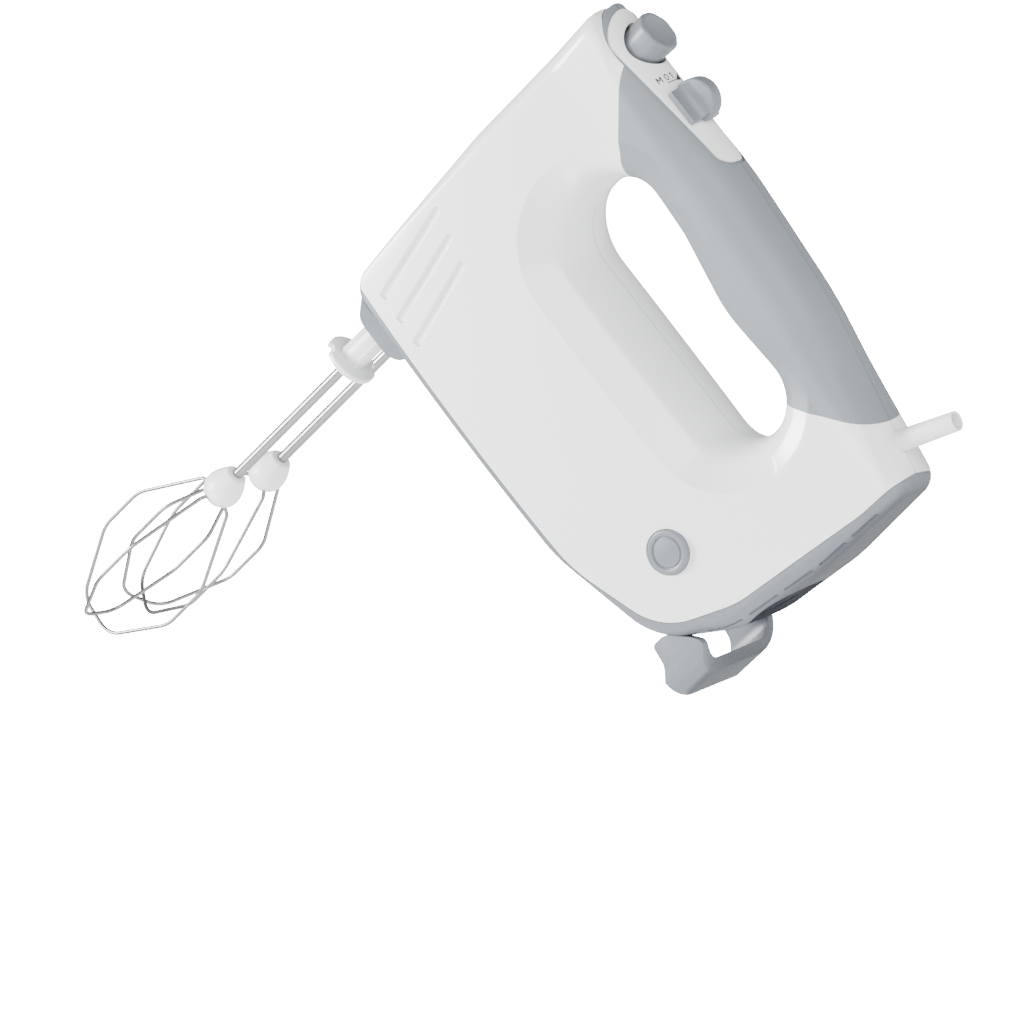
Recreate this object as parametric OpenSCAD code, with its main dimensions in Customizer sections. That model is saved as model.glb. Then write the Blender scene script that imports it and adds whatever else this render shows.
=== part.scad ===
// Hand mixer, standing on its heel.
// Every piece is drawn as the mixer is held in use: the whisks point down, x runs
// back from the whisk axes, y runs to the right-hand side, z runs up from the base.
// stand() then tips the whole mixer back on to its heel.

/* [Housing] */
// From the whisk axes forward to the tip of the nose
nose_reach = 29; // [27:1:36]
// From the whisk axes back to the plane of the heel
heel_reach = 170; // [168:1:204]
// From the base up to the top of the handle
body_h = 138.5; // [136:0.5:166]
// Greatest width of the body, low down at the base
base_w = 68; // [66:1:82]
// Width of the handle
handle_w = 31; // [30:0.5:36]
// Depth of the handle from its top down to the finger opening
handle_t = 32; // [28:1:34]
// Wall thickness of the hard mouldings
wall = 2.2; // [1.8:0.1:2.6]
// Thickness of the soft grip
grip_t = 2; // [1.4:0.1:2.4]
// Height of the grey belt round the base
belt_h = 5; // [4.5:0.5:6]

/* [Finger opening] */
// From the whisk axes back to the front of the opening
open_front = 18; // [16:1:22]
// From the back of the opening to the plane of the heel
pillar_t = 49; // [47:1:60]
// Height of the floor of the opening above the base
open_floor = 72; // [71:1:78]
// Width of the dished rim round the opening
dish_w = 15; // [12:1:18]

/* [Controls] */
// Radius of the eject button
eject_r = 8.75; // [7.5:0.25:9]
// Travel of the eject button
eject_travel = 7; // [5:0.5:8]
// Height of the eject button above the top of the handle
eject_h = 7.5; // [7:0.5:10]
// Radius of the fin on the speed knob
fin_r = 8; // [6:0.5:10]
// Swing of the speed knob from off to the momentary step
swing_momentary = 8; // [6:1:9]
// Swing of the speed knob from off to the fastest step
swing_fast = 20; // [15:1:22]
// Radius of the attachment release button
release_r = 8; // [6:0.5:9]
// Travel of the attachment release button
release_travel = 2; // [1:0.5:3]

/* [Motor] */
// Height of the motor axis above the base
motor_z = 41; // [40:0.5:43]
// Radius of the motor shaft
shaft_r = 2.5; // [2:0.25:2.75]
// Radius of the laminated armature core
core_r = 15; // [13:0.5:16]
// Length of the laminated core
core_l = 36; // [30:1:38]

/* [Gears] */
// Module of the worm and its two wheels
gear_m = 0.9; // [0.85:0.01:0.92]
// Teeth on each worm wheel
wheel_teeth = 22; // [21:1:22]
// Face width of a worm wheel
wheel_t = 8; // [6:0.5:9]

/* [Whisks] */
// Distance between the two whisk axes
whisk_gap = 29; // [28:0.5:31]
// Radius of a whisk rod
rod_r = 1.9; // [1.5:0.05:2.1]
// From the base down to the top of the hub
hub_drop = 93; // [84:1:100]
// From the base down to the tip of the loops
tip_drop = 180; // [165:1:190]
// Greatest radius of the loops
loop_r = 22; // [18:1:23]
// Diameter of the loop wire
wire_d = 1.4; // [1.2:0.1:1.6]
// Radius of the flange on the left-hand collar
flange_r = 10; // [8:0.5:11]

/* [Heel] */
// Radius of the rear port
port_r = 16; // [13:0.5:16]
// Height of the rear port's axis above the base
port_z = 46; // [45:0.5:49]
// Bore of the empty cord sleeve
cord_bore_r = 2.7; // [2.2:0.1:3]
// Length of the cord sleeve outside the housing
sleeve_l = 26; // [20:1:32]
// Distance from the middle to the outside of a bracket arm
bracket_half = 24; // [20:1:25]

/* [Fits] */
// Gap round pieces that are laid in
gap = 0.2; // [0.15:0.05:0.25]
// Radial running clearance of shafts and pins
run = 0.04; // [0.02:0.01:0.08]

/* [Hidden] */
$fn = 64;

white = [0.93, 0.93, 0.93];
soft_grey = [0.62, 0.64, 0.66];
dark_grey = [0.32, 0.33, 0.34];
steel = [0.72, 0.73, 0.75];
copper = [0.72, 0.42, 0.22];

// ---- outlines in the side view: [x, z, corner radius, edge radius, squareness] ----
open_back = heel_reach - pillar_t;
open_top = body_h - handle_t;
full_round = handle_w / 2;
base_edge = belt_h;

body_corners = [
    [-nose_reach + 13, 0, 9, base_edge, 3],
    [-nose_reach + 3, open_floor - 3, 150, 8, 2.4],
    [-nose_reach, body_h - 2, 5, 9, 2.3],
    [-nose_reach + 14, body_h - 1.3, 60, full_round, 2],
    [open_front + 28, body_h + 0.9, 150, full_round, 2],
    [open_back - 21, body_h - 3.9, 150, full_round, 2],
    [heel_reach + 0.8, body_h - 21, 6, 9, 2.4],
    [heel_reach + 0.8, port_z + 29, 70, 9, 2.6],
    [heel_reach - 4.5, port_z - 13, 36, 8, 2.8],
    [heel_reach - 20, 9, 26, base_edge + 1, 3],
    [heel_reach - 65, 0, 60, base_edge, 3]
];

// Corners of the opening: [x, z, corner radius, dish], where dish 1 is a fully dished rim
opening_corners = [
    [open_front, open_floor, 20, 1, 0],
    [open_front, open_top + 2, 16, 0.7, 0],
    [open_front + 32, open_top + 0.3, 50, 0, 0],
    [open_back - 41, open_top - 5.3, 60, 0, 0],
    [open_back, open_top - 3, 15, 0.7, 0],
    [open_back, open_floor, 17, 1, 0]
];

// Corners of the seam between the white shells and the grey belt
far_out = 2 * heel_reach;
seam_corners = [
    [-far_out, belt_h, 1, 0, 0],
    [heel_reach - 58, belt_h, 60, 0, 0],
    [heel_reach - 21, belt_h + 11.5, 25, 0, 0],
    [heel_reach - 10, port_z - 1, 40, 0, 0],
    [heel_reach - 4.3, body_h - 38, 60, 0, 0],
    [heel_reach - 5.5, far_out, 1, 0, 0],
    [-far_out, far_out, 1, 0, 0]
];

function unit(v) = v / norm(v);
function xz(c) = [c[0], c[1]];
function lerp(a, b, f) = a + (b - a) * f;

// Rounds the corners of a closed path and keeps each corner's own values
function round_path(path, steps) = [
    for (i = [0:len(path) - 1])
        let (c = path[i])
        let (before = xz(path[(i + len(path) - 1) % len(path)]) - xz(c))
        let (after = xz(path[(i + 1) % len(path)]) - xz(c))
        let (u = unit(before), v = unit(after))
        let (half = acos(u * v) / 2, turn = 180 - 2 * half)
        let (t = min(c[2] / tan(half), 0.48 * min(norm(before), norm(after))))
        let (centre = xz(c) + unit(u + v) * t / cos(half))
        let (w0 = xz(c) + u * t - centre, w1 = xz(c) + v * t - centre)
        for (k = [0:steps])
            let (f = k / steps)
            let (p = centre + (w0 * sin((1 - f) * turn) + w1 * sin(f * turn)) / sin(turn))
            [p[0], p[1], c[3], c[4]]
];

// First crossing of a ray with a closed path: [distance, first value, second value]
function hit(path, from, aim) = [
    for (i = [0:len(path) - 1])
        let (p = xz(path[i]), next = path[(i + 1) % len(path)])
        let (e = xz(next) - p, den = cross(aim, e))
        if (abs(den) > 1e-9)
            let (t = cross(p - from, e) / den, s = cross(p - from, aim) / den)
            if (s >= 0 && s < 1 && t > 0)
                [t, lerp(path[i][2], next[2], s), lerp(path[i][3], next[3], s)]
][0];

body_line = round_path(body_corners, 6);
opening_line = round_path(opening_corners, 6);
seam_line = round_path(seam_corners, 5);

// Rays fan out from a spine inside the opening, and each one carries a cross-section
spine_z = (open_floor + open_top) / 2;
front_hub = [open_front + 20, spine_z];
rear_hub = [open_back - 18, spine_z];
function heading(from, to) = (atan2(to[1] - from[1], to[0] - from[0]) + 360) % 360;
nose_foot = [front_hub[0] - hit(body_line, [front_hub[0], belt_h], [-1, 0])[0], belt_h];
cap_top = [
    heel_reach - 5.3,
    spine_z + hit(body_line, [heel_reach - 5.3, spine_z], [0, 1])[0]
];
belt_from = heading(front_hub, nose_foot) + 0.6;
belt_to = heading(rear_hub, cap_top) - 0.6;
grip_front = 135;
grip_back = 39;

function fan(hub, a0, a1, n, bias = 1) = [
    for (k = [0:n - 1]) [hub, a0 + (a1 - a0) * pow(k / (n - 1), bias)]
];
function march(from_x, to_x, aim, n) = [
    for (k = [1:n]) [[from_x + (to_x - from_x) * k / (n + 1), spine_z], aim]
];
grip_stations = concat(
    fan(rear_hub, grip_back + 0.1, 90, 8),
    march(rear_hub[0], front_hub[0], 90, 8),
    fan(front_hub, 90, grip_front - 0.1, 6)
);
nose_stations = fan(front_hub, grip_front + 0.1, belt_from - 0.8, 16);
belt_stations = concat(
    fan(front_hub, belt_from, 270, 6, 1.4),
    march(front_hub[0], rear_hub[0], 270, 9),
    fan(rear_hub, -90, belt_to, 22)
);
tail_stations = fan(rear_hub, belt_to + 0.8, grip_back - 0.1, 3);

// A ray: [start, aim, to outline, to opening, edge radius, squareness, dish, seam depth]
function ray(station) =
    let (from = station[0], aim = [cos(station[1]), sin(station[1])])
    let (body = hit(body_line, from, aim), hole = hit(opening_line, from, aim))
    let (seam = hit(seam_line, from, aim))
    [from, aim, body[0], hole[0], body[1], body[2], hole[1], max(body[0] - seam[0], 0)];

grip_rays = [for (s = grip_stations) ray(s)];
nose_rays = [for (s = nose_stations) ray(s)];
belt_rays = [for (s = belt_stations) ray(s)];
tail_rays = [for (s = tail_stations) ray(s)];

// Half width of the body at a place in the side view
widest_x = 60;
plan_bow = 7 / pow(heel_reach - 70, 2);
lean_h = open_top + 5.5;
function half_w(p) =
    let (low = base_w / 2 - plan_bow * pow(p[0] - widest_x, 2))
    let (lean = cos(90 * min(max(p[1] / lean_h, 0), 1)))
    full_round + (low - full_round) * lean;

// A rounded edge: 0 at the edge, 1 from one edge radius inwards
function edge_curve(f, n) = pow(1 - pow(1 - min(max(f, 0), 1), n), 1 / n);
lip_share = 0.55;
lip_r = 6;
least_edge = 0.6;
edge_limit = 0.48;

// Point of the skin on one ray, at depth d below the outline, off is how far the skin is sunk
function skin(r, d, off) =
    let (p = r[0] + r[1] * (r[2] - d))
    let (span = r[2] - r[3] - 2 * off, inward = span - (d - off))
    let (edge = max(min(r[4] - off, edge_limit * span), least_edge))
    let (lip = max(min(lerp(full_round, lip_r, r[6]) - off, edge_limit * span), least_edge))
    let (slope = r[6] * (1 - lip_share))
    let (rim = (1 - slope) * edge_curve(inward / lip, 2) + slope * min(1, inward / dish_w))
    let (y = (half_w(p) - off) * edge_curve((d - off) / edge, r[5]) * rim)
    [min(p[0], heel_reach - off), y, p[1]];

edge_steps = 6;
flank_steps = 4;
rim_steps = 7;
// Depths along a ray, close together where the skin curves
function depths(r, off, start) =
    let (span = r[2] - r[3] - 2 * off, end = r[2] - r[3] - off)
    let (edge_end = max(start + 1.5, off + min(r[4] - off, edge_limit * span)))
    let (rim_start = end - min(dish_w, edge_limit * span))
    concat(
        [for (j = [0:edge_steps])
            start + (edge_end - start) * (1 - pow(cos(90 * j / edge_steps), 2 / r[5]))],
        [for (j = [1:flank_steps - 1]) lerp(edge_end, rim_start, j / flank_steps)],
        [for (j = [rim_steps:-1:0]) end - (end - rim_start) * (1 - cos(90 * j / rim_steps))]
    );
function section(r, off) = [for (d = depths(r, off, max(off, r[7]))) skin(r, d, off)];

// Closed solid between two grids of points
module thick_sheet(outer, inner, ring) {
    rows = len(outer);
    cols = len(outer[0]);
    last = ring ? rows - 1 : rows - 2;
    inner_at = rows * cols;
    function at(i, j) = (i % rows) * cols + j;
    function quad(a, b, c, d) = [[a, b, c], [a, c, d]];
    skins = [for (i = [0:last]) for (j = [0:cols - 2]) each concat(
        quad(at(i, j), at(i + 1, j), at(i + 1, j + 1), at(i, j + 1)),
        quad(inner_at + at(i, j), inner_at + at(i, j + 1),
             inner_at + at(i + 1, j + 1), inner_at + at(i + 1, j))
    )];
    rims = [for (i = [0:last]) each concat(
        quad(at(i, 0), inner_at + at(i, 0), inner_at + at(i + 1, 0), at(i + 1, 0)),
        quad(at(i, cols - 1), at(i + 1, cols - 1),
             inner_at + at(i + 1, cols - 1), inner_at + at(i, cols - 1))
    )];
    ends = ring ? [] : [for (j = [0:cols - 2]) each concat(
        quad(at(0, j), at(0, j + 1), inner_at + at(0, j + 1), inner_at + at(0, j)),
        quad(at(rows - 1, j), inner_at + at(rows - 1, j),
             inner_at + at(rows - 1, j + 1), at(rows - 1, j + 1))
    )];
    polyhedron(
        points = concat([for (s = outer) each s], [for (s = inner) each s]),
        faces = concat(skins, rims, ends),
        convexity = 8
    );
}

// ---- placing ----
tip_z = -tip_drop;
lowest = tip_z - wire_d;
highest = body_h + fin_r + 2.6;
stand_x = -(lowest + highest) / 2;
module stand() {
    translate([stand_x, 0, heel_reach]) rotate([0, 90, 0]) children();
}
module mirrored(side) {
    if (side < 0) mirror([0, 1, 0]) children();
    else children();
}
module along_x(x0, x1, r, z = 0, y = 0) {
    translate([x0, y, z]) rotate([0, 90, 0]) cylinder(h = x1 - x0, r = r);
}
module block(x0, x1, y0, y1, z0, z1) {
    translate([x0, y0, z0]) cube([x1 - x0, y1 - y0, z1 - z0]);
}
// Prism from a rounded plan outline of [x, y, radius] corners
module plan_prism(corners, z0, z1) {
    line = round_path([for (c = corners) [c[0], c[1], c[2], 0, 0]], 8);
    translate([0, 0, z0]) linear_extrude(z1 - z0) polygon([for (p = line) xz(p)]);
}

// ---- housing ----
ctl_z = body_h - full_round;
plate_front = -nose_reach + 5;
plate_back = open_front + 25;
eject_x = -9;
knob_x0 = open_front - 7;
knob_l = 14;
knob_x1 = knob_x0 + knob_l;
bezel_w = 3;
bezel_side = 0.9;
function plate_corners(grow_end, grow_side) = [
    [plate_front - grow_end, -13 - grow_side, 12],
    [plate_front - grow_end, 13 + grow_side, 12],
    [plate_back + grow_side, 6.5 + grow_side, 6],
    [plate_back + grow_side, -6.5 - grow_side, 6]
];
pocket_z = ctl_z + 4;
module plate_pocket() {
    plan_prism(plate_corners(bezel_w + gap, bezel_side + gap), pocket_z, body_h + 20);
}

// Case screws: places in the side view where both shells carry a boss
boss_r = 3.5;
screw_r = 1.5;
screw_head_r = 2.8;
screw_seat = 8;
screw_places = [
    [6, open_top - 2], [30, 10], [open_back - 3, 14], [heel_reach - 30, open_top - 5]
];
module boss_set(side) {
    for (p = screw_places)
        translate([p[0], 0, p[1]]) rotate([side < 0 ? 90 : -90, 0, 0])
            cylinder(h = half_w(p) - wall / 2, r = boss_r);
}
module screw_holes(side) {
    for (p = screw_places) translate([p[0], 0, p[1]]) {
        if (side > 0) {
            rotate([-90, 0, 0]) translate([0, 0, -1]) cylinder(h = screw_seat + 2, r = screw_r);
            rotate([-90, 0, 0]) translate([0, 0, screw_seat])
                cylinder(h = base_w, r = screw_head_r + gap);
        } else {
            rotate([90, 0, 0]) translate([0, 0, -1]) cylinder(h = screw_seat + 1, r = screw_r);
        }
    }
}

sleeve_x = heel_reach - 17.5;
sleeve_z = body_h - 18.5;
sleeve_tilt = 20.6;
sleeve_r = 4;
module at_sleeve() {
    translate([sleeve_x, 0, sleeve_z]) rotate([0, sleeve_tilt, 0]) children();
}
release_x = heel_reach - 39;
release_z = 38;
release_y = half_w([release_x, release_z]);

// Slanted finger grooves low on the front flank
groove_w = 3;
groove_deep = 0.9;
groove_pitch = 10.3;
groove_count = 3;
module groove_cut(k) {
    foot = [-5.5 + k * groove_pitch, 11.5];
    head = foot + [-9, 36 - 2.2 * k];
    hull() for (p = [foot, head])
        translate([p[0], half_w(p) - groove_deep, p[1]]) cube([groove_w, 6, 0.2]);
}

module case_half(side) {
    grip_sec = [for (r = grip_rays) section(r, grip_t)];
    grip_in = [for (r = grip_rays) section(r, grip_t + wall)];
    bare = concat(nose_rays, belt_rays, tail_rays);
    bare_sec = [for (r = bare) section(r, 0)];
    bare_in = [for (r = bare) section(r, wall)];
    difference() {
        union() {
            mirrored(side) thick_sheet(concat(grip_sec, bare_sec), concat(grip_in, bare_in), true);
            boss_set(side);
        }
        plate_pocket();
        screw_holes(side);
        at_sleeve() translate([0, 0, -12]) cylinder(h = 30, r = sleeve_r + gap / 2);
        mirrored(side) for (k = [0:groove_count - 1]) groove_cut(k);
        if (side < 0)
            translate([release_x, 0, release_z]) rotate([90, 0, 0])
                cylinder(h = base_w, r = release_r + gap);
    }
}
module shell_left() color(white) stand() case_half(-1);
module shell_right() color(white) stand() case_half(1);

module grip_half(side) {
    outer = [for (r = grip_rays) section(r, 0)];
    inner = [for (r = grip_rays) section(r, grip_t)];
    difference() {
        mirrored(side) thick_sheet(outer, inner, false);
        plate_pocket();
    }
}
module grip_left() color(soft_grey) stand() grip_half(-1);
module grip_right() color(soft_grey) stand() grip_half(1);

// The belt, floor and heel cap in one moulding
tray_steps = 6;
function tray_row(r, off) = [
    for (j = [-tray_steps:tray_steps])
        let (f = 1 - pow(cos(90 * abs(j) / tray_steps), 2 / r[5]))
        let (p = skin(r, lerp(off, r[7], f), off))
        [p[0], j < 0 ? -p[1] : p[1], p[2]]
];
function tray_wall(r) = min(wall, 0.6 * r[7]);
whisk_y = whisk_gap / 2;
boss_x0 = -13;
boss_x1 = 17;
boss_drop = 9;
boss_half = whisk_y + 12;
port_back = heel_reach - 15;
port_wall = 1.8;
port_lean = 9.6;
port_face_x = heel_reach - 7.8;
vent_l = 13;
vent_w = 1.6;
vent_pitch = 16;
vent_count = 5;
vent_y = 21.5;
vent_lean = 7.5;
module vent_cuts(side) {
    mirrored(side) translate([heel_reach - 12, vent_y, port_z - 18]) rotate([vent_lean, 0, 0])
        for (k = [0:vent_count - 1])
            translate([0, 0, k * vent_pitch]) cube([20, vent_w, vent_l]);
}
module base_tray() color(soft_grey) stand() {
    outer = [for (r = belt_rays) tray_row(r, 0)];
    inner = [for (r = belt_rays) tray_row(r, tray_wall(r))];
    difference() {
        union() {
            thick_sheet(outer, inner, false);
            difference() {
                along_x(port_back, heel_reach, port_r + port_wall, port_z);
                translate([port_face_x, -40, port_z - port_r]) rotate([0, port_lean, 0])
                    translate([0, 0, -20]) cube([30, 80, 80]);
            }
        }
        along_x(port_back - 1, heel_reach + 5, port_r, port_z);
        plan_prism([
            [boss_x0 + 3, -boss_half + 3, 4], [boss_x0 + 3, boss_half - 3, 4],
            [boss_x1 - 3, boss_half - 3, 4], [boss_x1 - 3, -boss_half + 3, 4]
        ], -3, 6);
        for (side = [-1, 1]) vent_cuts(side);
    }
}

// Bulge under the nose that carries the lower ends of the two spindles
spindle_r = 6;
module boss_plate(inset, z0, z1) {
    plan_prism([
        [boss_x0 + inset, -boss_half + inset, 6], [boss_x0 + inset, boss_half - inset, 6],
        [boss_x1 - inset, boss_half - inset, 6], [boss_x1 - inset, -boss_half + inset, 6]
    ], z0, z1);
}
module socket_boss() color(soft_grey) stand() difference() {
    union() {
        hull() {
            boss_plate(0, -0.9, 0);
            boss_plate(4, -boss_drop, -boss_drop + 0.5);
        }
        boss_plate(3 + gap, -1, wall + 1.5);
    }
    for (side = [-1, 1]) translate([0, side * whisk_y, -20]) cylinder(h = 40, r = spindle_r + run);
}

// Hoop behind the lower rear corner
hoop_t = 3.5;
module heel_bracket() color(soft_grey) stand() intersection() {
    translate([0, bracket_half + 1, 0]) rotate([90, 0, 0]) linear_extrude(2 * bracket_half + 2)
        polygon([
            [heel_reach - 20, 7], [heel_reach - 12, 6], [heel_reach - 7.4, 2],
            [heel_reach, 2], [heel_reach, 16], [heel_reach - 5, 21], [heel_reach - 9, 24.5],
            [heel_reach - 13, 21.5], [heel_reach - 17, 17], [heel_reach - 20, 13.5]
        ]);
    difference() {
        plan_prism([
            [heel_reach - 30, -bracket_half, 1], [heel_reach, -bracket_half, 9],
            [heel_reach, bracket_half, 9], [heel_reach - 30, bracket_half, 1]
        ], 0, 30);
        plan_prism([
            [heel_reach - 40, -bracket_half + hoop_t, 1],
            [heel_reach - hoop_t, -bracket_half + hoop_t, 6],
            [heel_reach - hoop_t, bracket_half - hoop_t, 6],
            [heel_reach - 40, bracket_half - hoop_t, 1]
        ], -1, 31);
    }
}

// Control plate on top of the head, a slice of a cylinder round the knob's hinge axis
plate_r = full_round + 0.3;
plate_t = 2.2;
pin_r = 1.5;
lug_t = 2;
slot_margin = 7;
module plate_slice(r0, r1, x0, x1) {
    difference() {
        along_x(x0, x1, r1, ctl_z);
        along_x(x0 - 1, x1 + 1, r0, ctl_z);
        block(x0 - 1, x1 + 1, -40, 40, ctl_z - 40, pocket_z);
    }
}
module slot_wedge(a0, a1, x0, x1, r) {
    steps = 8;
    translate([x0, 0, ctl_z]) rotate([90, 0, 90]) linear_extrude(x1 - x0)
        polygon(concat([[0, 0]], [for (k = [0:steps])
            let (a = 90 - lerp(a0, a1, k / steps)) [r * cos(a), r * sin(a)]]));
}
stem_w = 3.4;
stem_half_angle = asin(stem_w / 2 / (plate_r - plate_t)) + 1;
stem_x0 = knob_x0 + 4;
stem_x1 = knob_x1 - 4;
module control_plate() color(white) stand() difference() {
    union() {
        intersection() {
            plate_slice(plate_r - plate_t, plate_r, plate_front - 5, plate_back + 5);
            plan_prism(plate_corners(0, 0), pocket_z, body_h + 10);
        }
        for (x = [knob_x0 - lug_t - 0.5, knob_x1 + 0.5])
            block(x, x + lug_t, -3, 3, ctl_z - 4, ctl_z + plate_r - plate_t + 0.6);
    }
    translate([eject_x, 0, ctl_z]) cylinder(h = 40, r = eject_r + gap);
    slot_wedge(-swing_momentary - stem_half_angle, swing_fast + stem_half_angle,
               stem_x0 - 0.4, stem_x1 + 0.4, plate_r + 2);
    along_x(knob_x0 - 5, knob_x1 + 5, pin_r, ctl_z);
}
module plate_bezel() color(soft_grey) stand() intersection() {
    plate_slice(plate_r - plate_t, plate_r - 0.4, plate_front - 10, plate_back + 10);
    difference() {
        plan_prism(plate_corners(bezel_w, bezel_side), pocket_z, body_h + 10);
        plan_prism(plate_corners(0, 0), pocket_z - 1, body_h + 11);
    }
}
module knob_pin() color(steel) stand()
    along_x(knob_x0 - lug_t - 0.5, knob_x1 + lug_t + 0.5, pin_r, ctl_z);

// Empty cord sleeve, its bore open for a cord
module cord_sleeve() color(white) stand() at_sleeve() difference() {
    union() {
        translate([0, 0, -4]) cylinder(h = 4.01, r = sleeve_r);
        cylinder(h = sleeve_l, r1 = sleeve_r, r2 = sleeve_r - 0.5);
        translate([0, 0, -7.5]) cylinder(h = 2.5, r = sleeve_r + 1.6);
        translate([0, 0, -5]) cylinder(h = 1, r = sleeve_r);
    }
    translate([0, 0, -10]) cylinder(h = sleeve_l + 20, r = cord_bore_r);
}

module case_screws() color(steel) stand() for (p = screw_places)
    translate([p[0], screw_seat, p[1]]) rotate([-90, 0, 0]) difference() {
        union() {
            translate([0, 0, -2 * screw_seat + 1]) cylinder(h = 2 * screw_seat - 1, r = screw_r);
            cylinder(h = 2, r = screw_head_r);
        }
        translate([-2, -0.4, 1.2]) cube([4, 0.8, 2]);
        translate([-0.4, -2, 1.2]) cube([0.8, 4, 2]);
    }

// ---- motor and gearbox, fixed parts ----
front_bearing_x = 19;
bearing_t = 5;
bearing_r = 8;
fan_x = 28;
fan_t = 7;
fan_r = 19;
core_x = 46;
commutator_x = core_x + core_l + 9;
commutator_l = 11;
commutator_r = 9;
rear_bearing_x = commutator_x + commutator_l + 5;
shaft_end = rear_bearing_x + bearing_t + 14;
shaft_tip = -nose_reach + 11.5;
top_plate_z0 = motor_z + 9.5;
top_plate_z1 = top_plate_z0 + 4;
journal_r = 4;
tower_x0 = -nose_reach + 10.2;
shelf_z = ctl_z - 14;
fork_w = 6;
module gear_frame() color("gainsboro") stand() difference() {
    union() {
        // top plate over the wheels
        block(tower_x0, front_bearing_x + bearing_t, -whisk_y - 6, whisk_y + 6,
              top_plate_z0, top_plate_z1);
        // wall that carries the motor's front bearing
        block(front_bearing_x, front_bearing_x + bearing_t, -20, 20, 14, top_plate_z1);
        // nose pillar that carries the tip of the shaft, and the tower above it
        block(tower_x0, tower_x0 + 4, -5, 5, motor_z - shaft_r - 1, top_plate_z1);
        block(tower_x0, tower_x0 + 4, -6, 6, top_plate_z0, shelf_z);
        // shelf that guides the ejector rod
        block(tower_x0, eject_x + 8, -8, 8, shelf_z - 3, shelf_z);
    }
    for (side = [-1, 1])
        translate([0, side * whisk_y, top_plate_z0 - 1]) cylinder(h = 10, r = journal_r + run);
    along_x(front_bearing_x - 1, front_bearing_x + bearing_t + 1, bearing_r, motor_z);
    along_x(tower_x0 - 1, tower_x0 + 5, shaft_r + run, motor_z);
    block(eject_x - fork_w / 2 - gap, eject_x + fork_w / 2 + gap,
          -fork_w / 2 - gap, fork_w / 2 + gap, shelf_z - 5, shelf_z + 2);
}
module rear_bridge() color(dark_grey) stand() difference() {
    block(rear_bearing_x, rear_bearing_x + bearing_t, -20, 20, 16, open_floor - 14);
    along_x(rear_bearing_x - 1, rear_bearing_x + bearing_t + 1, bearing_r, motor_z);
}
module motor_bearings() color(steel) stand()
    for (x = [front_bearing_x, rear_bearing_x]) difference() {
        along_x(x, x + bearing_t, bearing_r, motor_z);
        along_x(x - 1, x + bearing_t + 1, shaft_r + run, motor_z);
    }

// Two-pole stator, coils in the gaps between its poles
air_gap = 0.6;
stator_half = 23;
coil_r0 = core_r + air_gap + 0.4;
coil_r1 = coil_r0 + 4;
coil_a0 = 48;
coil_a1 = 68;
module ring_slice(r0, r1, a0, a1, x0, x1) {
    steps = 6;
    arc = [for (k = [0:steps]) lerp(a0, a1, k / steps)];
    translate([x0, 0, motor_z]) rotate([90, 0, 90]) linear_extrude(x1 - x0)
        polygon(concat(
            [for (a = arc) r1 * [cos(a), sin(a)]],
            [for (k = [steps:-1:0]) r0 * [cos(arc[k]), sin(arc[k])]]
        ));
}
module stator_core() color("slategray") stand() difference() {
    intersection() {
        block(core_x, core_x + core_l, -stator_half, stator_half,
              motor_z - stator_half, motor_z + stator_half);
        along_x(core_x, core_x + core_l, stator_half + 3, motor_z);
    }
    along_x(core_x - 1, core_x + core_l + 1, core_r + air_gap, motor_z);
    for (a = [0, 180]) for (s = [-1, 1])
        ring_slice(coil_r0 - 1.2, coil_r1 + 0.3, a + s * (coil_a0 - 2), a + s * (coil_a1 + 2),
                   core_x - 1, core_x + core_l + 1);
}
coil_over = 5;
module field_coils() color(copper) stand() for (a = [0, 180]) {
    for (s = [-1, 1])
        ring_slice(coil_r0, coil_r1, a + s * coil_a0, a + s * coil_a1,
                   core_x - coil_over, core_x + core_l + coil_over);
    for (x = [core_x - coil_over, core_x + core_l + 0.3])
        ring_slice(coil_r0 + 0.2, coil_r1 - 0.2, a - coil_a0 - 1, a + coil_a0 + 1,
                   x, x + coil_over - 0.3);
}
brush_w = 5;
module brush_holders() color("goldenrod") stand() for (side = [-1, 1]) mirrored(side)
    difference() {
        block(commutator_x + 2, commutator_x + commutator_l - 1, commutator_r + 2,
              commutator_r + 11, motor_z - 4, motor_z + 4);
        block(commutator_x + 3, commutator_x + 3 + brush_w, commutator_r + 1,
              commutator_r + 12, motor_z - brush_w / 2, motor_z + brush_w / 2);
    }
module carbon_brushes() color([0.15, 0.15, 0.15]) stand() for (side = [-1, 1]) mirrored(side)
    block(commutator_x + 3, commutator_x + 3 + brush_w, commutator_r + run,
          commutator_r + 9, motor_z - brush_w / 2, motor_z + brush_w / 2);

module switch_body() color(dark_grey) stand()
    block(knob_x1 + 6, knob_x1 + 26, -6.5, 6.5, ctl_z - 8, ctl_z + 2);
board_z = ctl_z - 8.5;
board_t = 1.6;
module speed_board() color("seagreen") stand() {
    block(open_front + 40, open_back - 28, -7, 7, board_z, board_z + board_t);
    block(open_front + 46, open_front + 52, -5, 5, board_z + board_t, board_z + 8);
    translate([open_front + 62, 0, board_z + board_t]) cylinder(h = 7, r = 4);
}

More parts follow.
